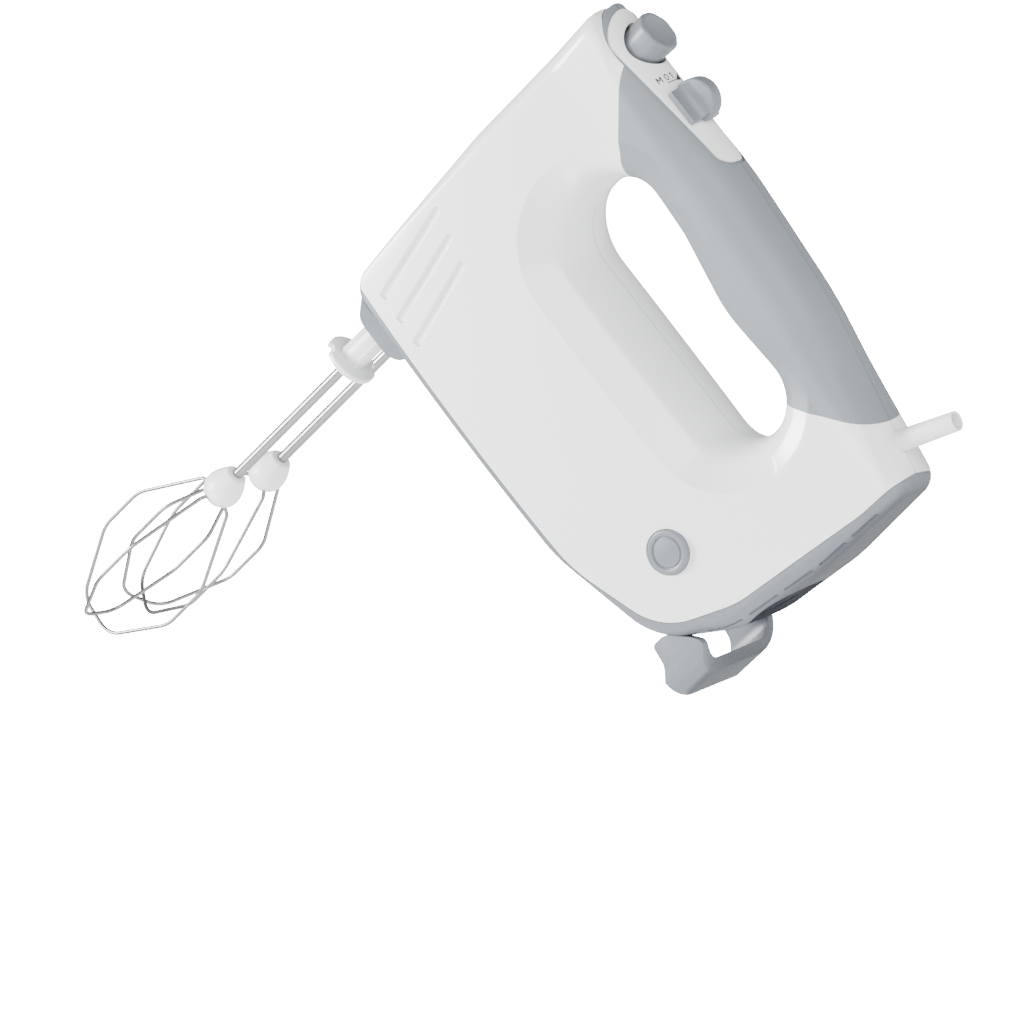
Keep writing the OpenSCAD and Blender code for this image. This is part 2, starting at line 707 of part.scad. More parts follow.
// ---- rotor ----
module motor_shaft() color(steel) stand() along_x(shaft_tip, shaft_end, shaft_r, motor_z);
module armature_core() color("slategray") stand() difference() {
    along_x(core_x, core_x + core_l, core_r, motor_z);
    along_x(core_x - 1, core_x + core_l + 1, shaft_r, motor_z);
    for (k = [0:11]) translate([core_x - 1, 0, motor_z]) rotate([k * 30, 0, 0])
        translate([0, -1, core_r - 1]) cube([core_l + 2, 2, 3]);
}
module armature_windings() color(copper) stand() difference() {
    union() {
        along_x(core_x - 5, core_x, core_r - 2, motor_z);
        along_x(core_x + core_l, core_x + core_l + 6, core_r - 2.5, motor_z);
    }
    along_x(core_x - 7, core_x + core_l + 9, shaft_r, motor_z);
}
module commutator() color(copper) stand() difference() {
    along_x(commutator_x - 2, commutator_x + commutator_l, commutator_r, motor_z);
    along_x(commutator_x - 3, commutator_x + commutator_l + 1, shaft_r, motor_z);
}
module cooling_fan() color(white) stand() difference() {
    union() {
        along_x(fan_x, fan_x + fan_t, 6, motor_z);
        along_x(fan_x, fan_x + 1.5, fan_r, motor_z);
        for (k = [0:8]) translate([fan_x, 0, motor_z]) rotate([k * 40, 0, 0])
            translate([1, -0.6, 5]) cube([fan_t - 1.6, 1.2, fan_r - 5.8]);
    }
    along_x(fan_x - 1, fan_x + fan_t + 1, shaft_r, motor_z);
}
module rear_drive_dog() color(dark_grey) stand() difference() {
    union() {
        along_x(shaft_end - 10, shaft_end - 2, 6, motor_z);
        for (k = [0:3]) translate([shaft_end - 2, 0, motor_z]) rotate([k * 90 + 45, 0, 0])
            translate([0, -1, 3]) cube([3, 2, 3]);
    }
    along_x(shaft_end - 12, shaft_end + 3, shaft_r, motor_z);
}

// Single-start right-handed worm: a thread raised on a cylinder
pitch = PI * gear_m;
wheel_r = gear_m * wheel_teeth / 2;
worm_r = whisk_y - wheel_r;
tooth_w = 1.1;
flank = tan(20);
worm_l = 12;
worm_around = 12;
worm_rows = round(worm_l / pitch * worm_around);
function thread_r(along) =
    let (s = abs(along - round(along)) * pitch)
    let (rise = (tooth_w / 2 - s) / flank)
    worm_r + min(max(rise, -1.15 * gear_m), 0.9 * gear_m);
module worm_thread() {
    rings = [for (i = [0:worm_rows]) for (k = [0:worm_around - 1])
        let (x = (i / worm_around) * pitch - worm_l / 2)
        let (a = 360 * k / worm_around, r = thread_r(x / pitch - k / worm_around))
        [x, r * cos(a), motor_z + r * sin(a)]];
    function at(i, k) = i * worm_around + k % worm_around;
    polyhedron(points = rings, faces = concat(
        [for (i = [0:worm_rows - 1]) for (k = [0:worm_around - 1]) each [
            [at(i, k), at(i + 1, k + 1), at(i, k + 1)], [at(i, k), at(i + 1, k), at(i + 1, k + 1)]
        ]],
        [for (k = [1:worm_around - 2]) [at(0, 0), at(0, k), at(0, k + 1)]],
        [for (k = [1:worm_around - 2])
            [at(worm_rows, 0), at(worm_rows, k + 1), at(worm_rows, k)]]
    ), convexity = 6);
}
module worm() color(steel) stand() difference() {
    worm_thread();
    along_x(-worm_l, worm_l, shaft_r, motor_z);
}

// ---- whisk drives ----
thread_lean = atan(pitch / (2 * PI * worm_r));
wheel_twist = wheel_t * tan(thread_lean) / wheel_r * 180 / PI;
module worm_wheel(side) {
    first = side > 0 ? -90 + 180 / wheel_teeth : 90;
    tip_r = wheel_r + 0.85 * gear_m;
    root_r = wheel_r - 1.15 * gear_m;
    function off(r, w) = w / 2 / r * 180 / PI;
    tip_w = tooth_w - 2 * 0.85 * gear_m * flank;
    root_w = tooth_w + 2 * 1.15 * gear_m * flank;
    outline = [for (k = [0:wheel_teeth - 1]) let (a = first + k * 360 / wheel_teeth) each [
        root_r * [cos(a - off(root_r, root_w)), sin(a - off(root_r, root_w))],
        tip_r * [cos(a - off(tip_r, tip_w)), sin(a - off(tip_r, tip_w))],
        tip_r * [cos(a + off(tip_r, tip_w)), sin(a + off(tip_r, tip_w))],
        root_r * [cos(a + off(root_r, root_w)), sin(a + off(root_r, root_w))]
    ]];
    translate([0, side * whisk_y, motor_z]) difference() {
        rotate([0, 0, -wheel_twist / 2]) translate([0, 0, -wheel_t / 2])
            linear_extrude(wheel_t, twist = -wheel_twist, slices = 3) polygon(outline);
        translate([0, 0, -wheel_t]) cylinder(h = 2 * wheel_t, r = spindle_r);
    }
}
module worm_wheel_left() color("ivory") stand() worm_wheel(-1);
module worm_wheel_right() color("ivory") stand() worm_wheel(1);

socket_r = 4.6;
socket_l = 14;
mouth_z = -boss_drop + 1;
module drive_spindle(side) {
    translate([0, side * whisk_y, 0]) difference() {
        union() {
            translate([0, 0, mouth_z]) cylinder(h = top_plate_z0 - 0.3 - mouth_z, r = spindle_r);
            translate([0, 0, mouth_z]) cylinder(h = top_plate_z1 - mouth_z, r = journal_r);
        }
        translate([0, 0, mouth_z - 1]) cylinder(h = 80, r = rod_r + run);
        translate([0, 0, mouth_z - 1]) cylinder(h = socket_l + 1, r = socket_r);
    }
}
module drive_spindle_left() color(steel) stand() drive_spindle(-1);
module drive_spindle_right() color(steel) stand() drive_spindle(1);

// ---- whisks ----
rod_top = motor_z - 3;
hub_l = 13.5;
collar_r = 5.4;
collar_fit = 0.06;
flange_z = mouth_z - 19;
collar_foot = [flange_z, mouth_z - 7];
module whisk_rod(side) {
    translate([0, side * whisk_y, -hub_drop - hub_l + 5])
        cylinder(h = rod_top + hub_drop + hub_l - 5, r = rod_r);
}
module whisk_rod_left() color(steel) stand() whisk_rod(-1);
module whisk_rod_right() color(steel) stand() whisk_rod(1);

module whisk_collar(side) {
    foot = side < 0 ? collar_foot[0] : collar_foot[1];
    translate([0, side * whisk_y, 0]) difference() {
        union() {
            translate([0, 0, foot]) cylinder(h = mouth_z + socket_l - 1 - foot,
                                             r = socket_r - collar_fit);
            translate([0, 0, foot]) cylinder(h = mouth_z - 0.4 - foot, r = collar_r - 0.6);
            for (k = [0:3]) rotate([0, 0, 45 + 90 * k])
                translate([3.5, -1.2, foot + 0.5])
                    cube([collar_r - 3.5, 2.4, mouth_z - 1.5 - foot]);
            if (side < 0) difference() {
                translate([0, 0, foot]) cylinder(h = 2.2, r = flange_r);
                for (k = [0:1]) rotate([0, 0, 45 + 180 * k])
                    translate([flange_r - 2, -2, foot - 1]) cube([4, 4, 5]);
            }
        }
        translate([0, 0, foot - 1]) cylinder(h = 60, r = rod_r);
    }
}
module whisk_collar_left() color(white) stand() whisk_collar(-1);
module whisk_collar_right() color(white) stand() whisk_collar(1);

// Egg-shaped hub moulded on to the rod and the ends of the wires
hub_top_r = 3.9;
hub_r = 7;
function hub_profile(f) =
    f < 0.62
        ? lerp(hub_top_r, hub_r, sin(90 * f / 0.62))
        : hub_r * sqrt(max(1 - pow((f - 0.62) / 0.5, 2), 0));
module whisk_hub(side) {
    steps = 14;
    translate([0, side * whisk_y, -hub_drop]) rotate_extrude() polygon(concat(
        [[rod_r, 0]],
        [for (k = [0:steps]) [hub_profile(k / steps), -hub_l * k / steps]],
        [[0, -hub_l], [0, -hub_l + 5], [rod_r, -hub_l + 5]]
    ));
}
module whisk_hub_left() color(white) stand() whisk_hub(-1);
module whisk_hub_right() color(white) stand() whisk_hub(1);

// One loop: two half outlines joined at the tip, swept with a round wire
wire_exit_z = -hub_drop - hub_l + 2.2;
function half_loop(drop) = [
    [5.2, wire_exit_z - 0.6, 0.1, 0, 0],
    [8.2, wire_exit_z - 1.6, 2.5, 0, 0],
    [loop_r, -hub_drop - 40, 16, 0, 0],
    [loop_r, tip_z + 27, 14, 0, 0],
    [8.5, tip_z + 2.6 + drop, 9, 0, 0],
    [-8.5, tip_z + 2.6 + drop, 9, 0, 0],
    [-loop_r, tip_z + 27, 14, 0, 0],
    [-loop_r, -hub_drop - 40, 16, 0, 0],
    [-8.2, wire_exit_z - 1.6, 2.5, 0, 0],
    [-5.2, wire_exit_z - 0.6, 0.1, 0, 0]
];
function open_ends(line, steps) = [
    for (i = [steps:len(line) - 1 - steps]) xz(line[i])
];
wire_sides = 6;
module wire_loop(side, angle, drop) {
    steps = 4;
    path = open_ends(round_path(half_loop(drop), steps), steps);
    n = len(path);
    function out(i) =
        let (t = unit(path[min(i + 1, n - 1)] - path[max(i - 1, 0)])) [-t[1], t[0]];
    pts = [for (i = [0:n - 1]) for (k = [0:wire_sides - 1])
        let (a = 360 * (k + 0.5) / wire_sides, r = wire_d / 2)
        let (p = path[i] + out(i) * r * cos(a))
        [p[0], r * sin(a), p[1]]];
    function at(i, k) = i * wire_sides + k % wire_sides;
    translate([0, side * whisk_y, 0]) rotate([0, 0, angle]) polyhedron(
        points = pts,
        faces = concat(
            [for (i = [0:n - 2]) for (k = [0:wire_sides - 1]) each [
                [at(i, k), at(i, k + 1), at(i + 1, k + 1)], [at(i, k), at(i + 1, k + 1), at(i + 1, k)]
            ]],
            [for (k = [1:wire_sides - 2]) [at(0, 0), at(0, k + 1), at(0, k)]],
            [for (k = [1:wire_sides - 2]) [at(n - 1, 0), at(n - 1, k), at(n - 1, k + 1)]]
        ), convexity = 6);
}
left_turn = -8;
right_turn = 53;
cross_lift = wire_d + 0.3;
module loop_outer_left() color(steel) stand() wire_loop(-1, left_turn, 0);
module loop_inner_left() color(steel) stand() wire_loop(-1, left_turn + 90, cross_lift);
module loop_outer_right() color(steel) stand() wire_loop(1, right_turn, 0);
module loop_inner_right() color(steel) stand() wire_loop(1, right_turn - 90, cross_lift);

// ---- controls ----
saddle_r0 = plate_r + 0.5;
saddle_r1 = saddle_r0 + 2;
saddle_half = 29;
fin_t = 6;
module speed_knob() color(soft_grey) stand() difference() {
    union() {
        intersection() {
            difference() {
                along_x(knob_x0, knob_x1, saddle_r1, ctl_z);
                along_x(knob_x0 - 1, knob_x1 + 1, saddle_r0, ctl_z);
            }
            slot_wedge(-saddle_half, saddle_half, knob_x0, knob_x1, 40);
        }
        intersection() {
            translate([(knob_x0 + knob_x1) / 2, fin_t / 2, body_h + 2.6]) rotate([90, 0, 0])
                cylinder(h = fin_t, r = fin_r);
            block(knob_x0 - 5, knob_x1 + 5, -10, 10, ctl_z + saddle_r0 + 0.3, body_h + 40);
        }
        block(stem_x0, stem_x1, -stem_w / 2, stem_w / 2, ctl_z, ctl_z + saddle_r1 - 0.5);
        along_x(knob_x0, knob_x1, 3.5, ctl_z);
        block(stem_x0, stem_x1, -1, 1, ctl_z - 9, ctl_z);
    }
    along_x(knob_x0 - 1, knob_x1 + 1, pin_r + run, ctl_z);
}
eject_top = body_h + eject_h;
module eject_button() color(soft_grey) stand() translate([eject_x, 0, 0]) difference() {
    union() {
        translate([0, 0, ctl_z + 8]) cylinder(h = eject_top - ctl_z - 8, r = eject_r);
        translate([0, 0, ctl_z + 7]) cylinder(h = 1.5, r = eject_r);
    }
    translate([0, 0, eject_top + 15.5]) sphere(r = 17);
    translate([0, 0, ctl_z + 6]) cylinder(h = 6, r = eject_r - 1.8);
    translate([-fork_w / 2, -fork_w / 2, ctl_z]) cube([fork_w, fork_w, 12.5]);
}
rod_gap = 1;
bridge_z = top_plate_z1 + eject_travel + 1.5;
module ejector_fork() color(dark_grey) stand() {
    block(eject_x - fork_w / 2, eject_x + fork_w / 2, -fork_w / 2, fork_w / 2,
          bridge_z, ctl_z + 12.5);
    block(eject_x - fork_w / 2, 3, -whisk_y - 3, whisk_y + 3, bridge_z, bridge_z + 4);
    for (side = [-1, 1]) translate([0, side * whisk_y, rod_top + rod_gap])
        cylinder(h = bridge_z - rod_top - rod_gap + 1, r = rod_r - 0.1);
}
module coil_spring(r, wire, length, turns, sides, around) {
    n = turns * around;
    pts = [for (i = [0:n]) for (k = [0:sides - 1])
        let (a = 360 * i / around, b = 360 * k / sides)
        let (rr = r + wire / 2 * cos(b), z = wire / 2 + (length - wire) * i / n + wire / 2 * sin(b))
        [rr * cos(a), rr * sin(a), z]];
    function at(i, k) = i * sides + k % sides;
    polyhedron(points = pts, faces = concat(
        [for (i = [0:n - 1]) for (k = [0:sides - 1]) each [
            [at(i, k), at(i, k + 1), at(i + 1, k + 1)], [at(i, k), at(i + 1, k + 1), at(i + 1, k)]
        ]],
        [for (k = [1:sides - 2]) [at(0, 0), at(0, k + 1), at(0, k)]],
        [for (k = [1:sides - 2]) [at(n, 0), at(n, k), at(n, k + 1)]]
    ), convexity = 6);
}
module eject_spring() color(steel) stand() translate([eject_x, 0, shelf_z + 0.1])
    coil_spring(5.4, 0.9, ctl_z + 12 - shelf_z - 0.2, 6, 5, 12);

release_proud = 1;
release_in = 6;
module release_button() color(soft_grey) stand()
    translate([release_x, -release_y + release_in, release_z]) rotate([90, 0, 0]) difference() {
        union() {
            cylinder(h = release_in + release_proud - 0.6, r = release_r);
            cylinder(h = release_in + release_proud, r = release_r - 0.6);
        }
        translate([0, 0, release_in + release_proud - 0.5]) difference() {
            cylinder(h = 2, r = release_r - 1.6);
            translate([0, 0, -1]) cylinder(h = 4, r = release_r - 2.4);
        }
        translate([0, 0, -1]) cylinder(h = release_in - 1, r = release_r - 2);
    }
latch_y = -release_y + release_in + 2;
module release_latch() color(dark_grey) stand() {
    translate([release_x, latch_y - 2, release_z]) rotate([90, 0, 0])
        cylinder(h = 3.5, r = 2.5);
    block(release_x - 3, port_back - 1, latch_y - 2, latch_y - 0.5, release_z - 4, release_z + 4);
}
module release_spring() color(steel) stand()
    translate([release_x, latch_y - 0.2, release_z]) rotate([-90, 0, 0])
        coil_spring(3.4, 0.7, 6, 4, 5, 10);

// Pair of sprung doors that close the rear port
door_x = port_back - 2;
door_t = 1.6;
door_pin_y = port_r + 0.2;
door_h = 2 * port_r - 4;
module port_door(side) {
    mirrored(side) difference() {
        union() {
            block(door_x - door_t / 2, door_x + door_t / 2, 0.15, door_pin_y,
                  port_z - door_h / 2, port_z + door_h / 2);
            translate([door_x, door_pin_y, port_z - door_h / 2]) cylinder(h = door_h, r = 1.5);
        }
        translate([door_x, door_pin_y, port_z - door_h]) cylinder(h = 2 * door_h, r = 0.8 + run);
    }
}
module port_door_left() color(dark_grey) stand() port_door(-1);
module port_door_right() color(dark_grey) stand() port_door(1);
module door_pins() color(steel) stand() for (side = [-1, 1])
    translate([door_x, side * door_pin_y, port_z - door_h / 2 - 2])
        cylinder(h = door_h + 4, r = 0.8);

shell_left();
shell_right();
grip_left();
grip_right();
base_tray();
socket_boss();
heel_bracket();
control_plate();
plate_bezel();
cord_sleeve();
case_screws();
gear_frame();
rear_bridge();
motor_bearings();
stator_core();
field_coils();
brush_holders();
carbon_brushes();
switch_body();
speed_board();
knob_pin();
motor_shaft();
armature_core();
armature_windings();
commutator();
worm();
cooling_fan();
rear_drive_dog();
drive_spindle_left();
worm_wheel_left();
drive_spindle_right();
worm_wheel_right();
whisk_rod_left();
whisk_collar_left();
whisk_hub_left();
loop_outer_left();
loop_inner_left();
whisk_rod_right();
whisk_collar_right();
whisk_hub_right();
loop_outer_right();
loop_inner_right();
speed_knob();
eject_button();
ejector_fork();
eject_spring();
release_button();
release_latch();
release_spring();
port_door_left();
port_door_right();
door_pins();
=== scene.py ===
import math

import bmesh
import bpy
from mathutils import Matrix, Vector


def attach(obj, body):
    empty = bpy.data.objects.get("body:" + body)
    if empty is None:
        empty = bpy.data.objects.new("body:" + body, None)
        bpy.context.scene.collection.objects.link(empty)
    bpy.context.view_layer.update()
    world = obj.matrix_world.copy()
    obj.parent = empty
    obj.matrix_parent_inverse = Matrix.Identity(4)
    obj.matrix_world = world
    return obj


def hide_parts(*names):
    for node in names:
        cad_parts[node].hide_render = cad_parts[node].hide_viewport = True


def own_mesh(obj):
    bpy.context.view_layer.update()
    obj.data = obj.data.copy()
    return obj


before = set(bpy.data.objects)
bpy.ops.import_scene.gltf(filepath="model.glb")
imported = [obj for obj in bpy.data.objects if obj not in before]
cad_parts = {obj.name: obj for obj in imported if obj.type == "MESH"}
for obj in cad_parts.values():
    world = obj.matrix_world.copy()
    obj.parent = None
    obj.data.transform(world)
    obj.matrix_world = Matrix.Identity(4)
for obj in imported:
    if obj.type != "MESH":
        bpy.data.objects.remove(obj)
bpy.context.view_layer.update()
bpy.ops.object.select_all(action="DESELECT")

# Pieces are drawn in millimetres as the mixer is held in use, whisks down, and stood()
# then tips each one back on to its heel, the way the assembly rests.
heel_plane, nose_shift = 170.0, 16.15
tip_back = Matrix((
    (0, 0, 0.001, nose_shift / 1000),
    (0, 0.001, 0, 0),
    (-0.001, 0, 0, heel_plane / 1000),
    (0, 0, 0, 1),
))


def stood(piece, body, *nodes, crease=32):
    """Tips a finished piece on to its heel, smooths it and hands it to its body."""
    bpy.ops.object.select_all(action="DESELECT")
    bpy.context.view_layer.objects.active = piece
    piece.select_set(True)
    bpy.ops.object.transform_apply(location=True, rotation=True, scale=True)
    for modifier in list(piece.modifiers):
        bpy.ops.object.modifier_apply(modifier=modifier.name)
    piece.data.transform(tip_back)
    bpy.ops.object.mode_set(mode="EDIT")
    bpy.ops.mesh.select_all(action="SELECT")
    bpy.ops.mesh.remove_doubles(threshold=0.000004)
    bpy.ops.mesh.normals_make_consistent(inside=False)
    bpy.ops.object.mode_set(mode="OBJECT")
    bpy.ops.object.shade_smooth_by_angle(angle=math.radians(crease))
    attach(piece, body)
    if nodes:
        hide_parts(*nodes)
    piece.select_set(False)
    return piece


# ---- Mouldings and metals -------------------------------------------------------------
# One graining recipe serves all the plastics: a slow drift in tone, a fine spark-eroded
# texture, and a gloss that changes a little from place to place.
grain = bpy.data.node_groups.new("moulded_grain", "ShaderNodeTree")
for label, kind in (("Tone", "NodeSocketColor"), ("Drift", "NodeSocketColor"),
                    ("Gloss", "NodeSocketFloat"), ("Spread", "NodeSocketFloat"),
                    ("Grain size", "NodeSocketFloat"), ("Grain height", "NodeSocketFloat")):
    grain.interface.new_socket(label, in_out="INPUT", socket_type=kind)
for label, kind in (("Color", "NodeSocketColor"), ("Roughness", "NodeSocketFloat"),
                    ("Normal", "NodeSocketVector")):
    grain.interface.new_socket(label, in_out="OUTPUT", socket_type=kind)
given = grain.nodes.new("NodeGroupInput")
result = grain.nodes.new("NodeGroupOutput")
spot = grain.nodes.new("ShaderNodeTexCoord")
slow = grain.nodes.new("ShaderNodeTexNoise")
slow.inputs["Scale"].default_value = 34
slow.inputs["Detail"].default_value = 3
fine = grain.nodes.new("ShaderNodeTexNoise")
fine.inputs["Detail"].default_value = 2
blend = grain.nodes.new("ShaderNodeMix")
blend.data_type = "RGBA"
gloss = grain.nodes.new("ShaderNodeMath")
gloss.operation = "MULTIPLY_ADD"
bump = grain.nodes.new("ShaderNodeBump")
bump.inputs["Distance"].default_value = 0.00008
grain.links.new(spot.outputs["Object"], slow.inputs["Vector"])
grain.links.new(spot.outputs["Object"], fine.inputs["Vector"])
grain.links.new(given.outputs["Grain size"], fine.inputs["Scale"])
grain.links.new(slow.outputs["Fac"], blend.inputs["Factor"])
grain.links.new(given.outputs["Tone"], blend.inputs["A"])
grain.links.new(given.outputs["Drift"], blend.inputs["B"])
grain.links.new(slow.outputs["Fac"], gloss.inputs[0])
grain.links.new(given.outputs["Spread"], gloss.inputs[1])
grain.links.new(given.outputs["Gloss"], gloss.inputs[2])
grain.links.new(fine.outputs["Fac"], bump.inputs["Height"])
grain.links.new(given.outputs["Grain height"], bump.inputs["Strength"])
grain.links.new(blend.outputs["Result"], result.inputs["Color"])
grain.links.new(gloss.outputs["Value"], result.inputs["Roughness"])
grain.links.new(bump.outputs["Normal"], result.inputs["Normal"])

# The parting line: where the two halves of a moulding meet on the middle plane, a hair
# of shadow shows. Pieces that are split there take this mask over their colour.
split = bpy.data.node_groups.new("parting_line", "ShaderNodeTree")
split.interface.new_socket("Half width", in_out="INPUT", socket_type="NodeSocketFloat")
split.interface.new_socket("Mask", in_out="OUTPUT", socket_type="NodeSocketFloat")
given = split.nodes.new("NodeGroupInput")
result = split.nodes.new("NodeGroupOutput")
spot = split.nodes.new("ShaderNodeTexCoord")
axes = split.nodes.new("ShaderNodeSeparateXYZ")
away = split.nodes.new("ShaderNodeMath")
away.operation = "ABSOLUTE"
near = split.nodes.new("ShaderNodeMath")
near.operation = "LESS_THAN"
split.links.new(spot.outputs["Object"], axes.inputs["Vector"])
split.links.new(axes.outputs["Y"], away.inputs[0])
split.links.new(away.outputs["Value"], near.inputs[0])
split.links.new(given.outputs["Half width"], near.inputs[1])
split.links.new(near.outputs["Value"], result.inputs["Mask"])


def moulding(name, tone, drift, gloss, spread=0.06, size=2600, height=0.12, seam=0.0, coat=0.0):
    """A plastic or rubber: its two tones, its gloss and its grain."""
    made = bpy.data.materials.new(name)
    made.use_nodes = True
    tree = made.node_tree
    shader = tree.nodes["Principled BSDF"]
    skin = tree.nodes.new("ShaderNodeGroup")
    skin.node_tree = grain
    skin.inputs["Tone"].default_value = (*tone, 1)
    skin.inputs["Drift"].default_value = (*drift, 1)
    skin.inputs["Gloss"].default_value = gloss
    skin.inputs["Spread"].default_value = spread
    skin.inputs["Grain size"].default_value = size
    skin.inputs["Grain height"].default_value = height
    tree.links.new(skin.outputs["Roughness"], shader.inputs["Roughness"])
    tree.links.new(skin.outputs["Normal"], shader.inputs["Normal"])
    shader.inputs["IOR"].default_value = 1.5
    shader.inputs["Coat Weight"].default_value = coat
    shader.inputs["Coat Roughness"].default_value = 0.12
    if seam:
        line = tree.nodes.new("ShaderNodeGroup")
        line.node_tree = split
        line.inputs["Half width"].default_value = seam
        shade = tree.nodes.new("ShaderNodeMix")
        shade.data_type = "RGBA"
        shade.inputs["B"].default_value = (tone[0] * 0.32, tone[1] * 0.32, tone[2] * 0.33, 1)
        tree.links.new(line.outputs["Mask"], shade.inputs["Factor"])
        tree.links.new(skin.outputs["Color"], shade.inputs["A"])
        tree.links.new(shade.outputs["Result"], shader.inputs["Base Color"])
    else:
        tree.links.new(skin.outputs["Color"], shader.inputs["Base Color"])
    return made


def drawn_metal(name, tone, drift, gloss, stretch=(1, 1, 40), size=900, height=0.1):
    """A metal with its drawing or turning marks stretched along one direction."""
    made = bpy.data.materials.new(name)
    made.use_nodes = True
    tree = made.node_tree
    shader = tree.nodes["Principled BSDF"]
    shader.inputs["Metallic"].default_value = 1
    spot = tree.nodes.new("ShaderNodeTexCoord")
    pull = tree.nodes.new("ShaderNodeMapping")
    pull.inputs["Scale"].default_value = stretch
    marks = tree.nodes.new("ShaderNodeTexNoise")
    marks.inputs["Scale"].default_value = size
    marks.inputs["Detail"].default_value = 3
    tint = tree.nodes.new("ShaderNodeMix")
    tint.data_type = "RGBA"
    tint.inputs["A"].default_value = (*tone, 1)
    tint.inputs["B"].default_value = (*drift, 1)
    rough = tree.nodes.new("ShaderNodeMapRange")
    rough.inputs["To Min"].default_value = gloss
    rough.inputs["To Max"].default_value = gloss + 0.16
    relief = tree.nodes.new("ShaderNodeBump")
    relief.inputs["Strength"].default_value = height
    relief.inputs["Distance"].default_value = 0.00005
    tree.links.new(spot.outputs["Object"], pull.inputs["Vector"])
    tree.links.new(pull.outputs["Vector"], marks.inputs["Vector"])
    tree.links.new(marks.outputs["Fac"], tint.inputs["Factor"])
    tree.links.new(marks.outputs["Fac"], rough.inputs["Value"])
    tree.links.new(marks.outputs["Fac"], relief.inputs["Height"])
    tree.links.new(tint.outputs["Result"], shader.inputs["Base Color"])
    tree.links.new(rough.outputs["Result"], shader.inputs["Roughness"])
    tree.links.new(relief.outputs["Normal"], shader.inputs["Normal"])
    return made


shell_white = moulding("shell_white", (0.80, 0.806, 0.815), (0.77, 0.777, 0.787), 0.22,
                       seam=0.00011, height=0.05, coat=0.15)
trim_white = moulding("trim_white", (0.79, 0.795, 0.80), (0.75, 0.755, 0.765), 0.3, height=0.06)
grip_grey = moulding("grip_grey", (0.165, 0.185, 0.205), (0.14, 0.16, 0.18), 0.44,
                     spread=0.12, size=3600, height=0.3, seam=0.00012)
belt_grey = moulding("belt_grey", (0.15, 0.166, 0.185), (0.125, 0.14, 0.16), 0.36,
                     size=3000, height=0.2)
dark_plastic = moulding("dark_plastic", (0.03, 0.031, 0.034), (0.05, 0.051, 0.054), 0.45)
nylon = moulding("nylon", (0.72, 0.70, 0.64), (0.62, 0.60, 0.55), 0.42, height=0.1)
board_green = moulding("board_green", (0.02, 0.13, 0.06), (0.03, 0.18, 0.08), 0.3)
pressed_carbon = moulding("pressed_carbon", (0.012, 0.012, 0.013), (0.03, 0.03, 0.032), 0.6,
                          height=0.4)
print_black = moulding("print_black", (0.012, 0.012, 0.013), (0.02, 0.02, 0.021), 0.5)
wire_steel = drawn_metal("wire_steel", (0.27, 0.275, 0.28), (0.14, 0.145, 0.15), 0.24)
rod_steel = drawn_metal("rod_steel", (0.32, 0.325, 0.33), (0.18, 0.185, 0.19), 0.24,
                        stretch=(0.04, 1, 1))
laminations = drawn_metal("laminations", (0.22, 0.225, 0.24), (0.12, 0.125, 0.135), 0.4,
                          stretch=(0.05, 0.05, 1), size=2400, height=0.5)
copper = drawn_metal("copper", (0.80, 0.36, 0.17), (0.52, 0.20, 0.09), 0.26,
                     stretch=(1, 1, 0.05), size=1800, height=0.4)
brass = drawn_metal("brass", (0.78, 0.60, 0.28), (0.62, 0.46, 0.20), 0.28)

# ---- Housing --------------------------------------------------------------------------
# Two injection-moulded white halves meet on the middle plane and wrap the motor. Their
# skin is swept round the finger opening: rays fan out from a spine inside the opening,
# and each ray carries one rounded cross-section of the body or the handle.
handle_w, handle_t, body_h, belt_h, port_z = 31.0, 32.0, 138.5, 5.0, 46.0
full_round, wall, grip_t = handle_w / 2, 2.2, 2.0
whisk_y, port_r, eject_x = 14.5, 16.0, -9
release_x, release_z = 131, 38
cord_x, cord_z, cord_lean = 152.5, 120, math.radians(20.6)
screw_places = ((6, 104.5), (30, 10), (118, 14), (140, 101.5))
open_front, open_back, open_floor, open_top = 18.0, 121.0, 72.0, body_h - handle_t
body_corners = [
    (-16, 0, 9, 5, 3), (-26, 69, 150, 8, 2.4), (-29, 136.5, 5, 9, 2.3),
    (-15, 137.2, 60, full_round, 2), (46, 139.4, 150, full_round, 2),
    (100, 134.6, 150, full_round, 2), (170.8, 117.5, 6, 9, 2.4), (170.8, 75, 70, 9, 2.6),
    (165.5, 33, 36, 8, 2.8), (150, 9, 26, 6, 3), (105, 0, 60, 5, 3),
]
opening_corners = [
    (open_front, open_floor, 20, 1, 0), (open_front, open_top + 2, 16, 0.7, 0),
    (open_front + 32, open_top + 0.3, 50, 0, 0), (open_back - 41, open_top - 5.3, 60, 0, 0),
    (open_back, open_top - 3, 15, 0.7, 0), (open_back, open_floor, 17, 1, 0),
]
seam_corners = [
    (-340, belt_h, 1, 0, 0), (112, belt_h, 60, 0, 0), (149, belt_h + 11.5, 25, 0, 0),
    (160, port_z - 1, 40, 0, 0), (165.7, body_h - 38, 60, 0, 0), (164.5, 340, 1, 0, 0),
    (-340, 340, 1, 0, 0),
]


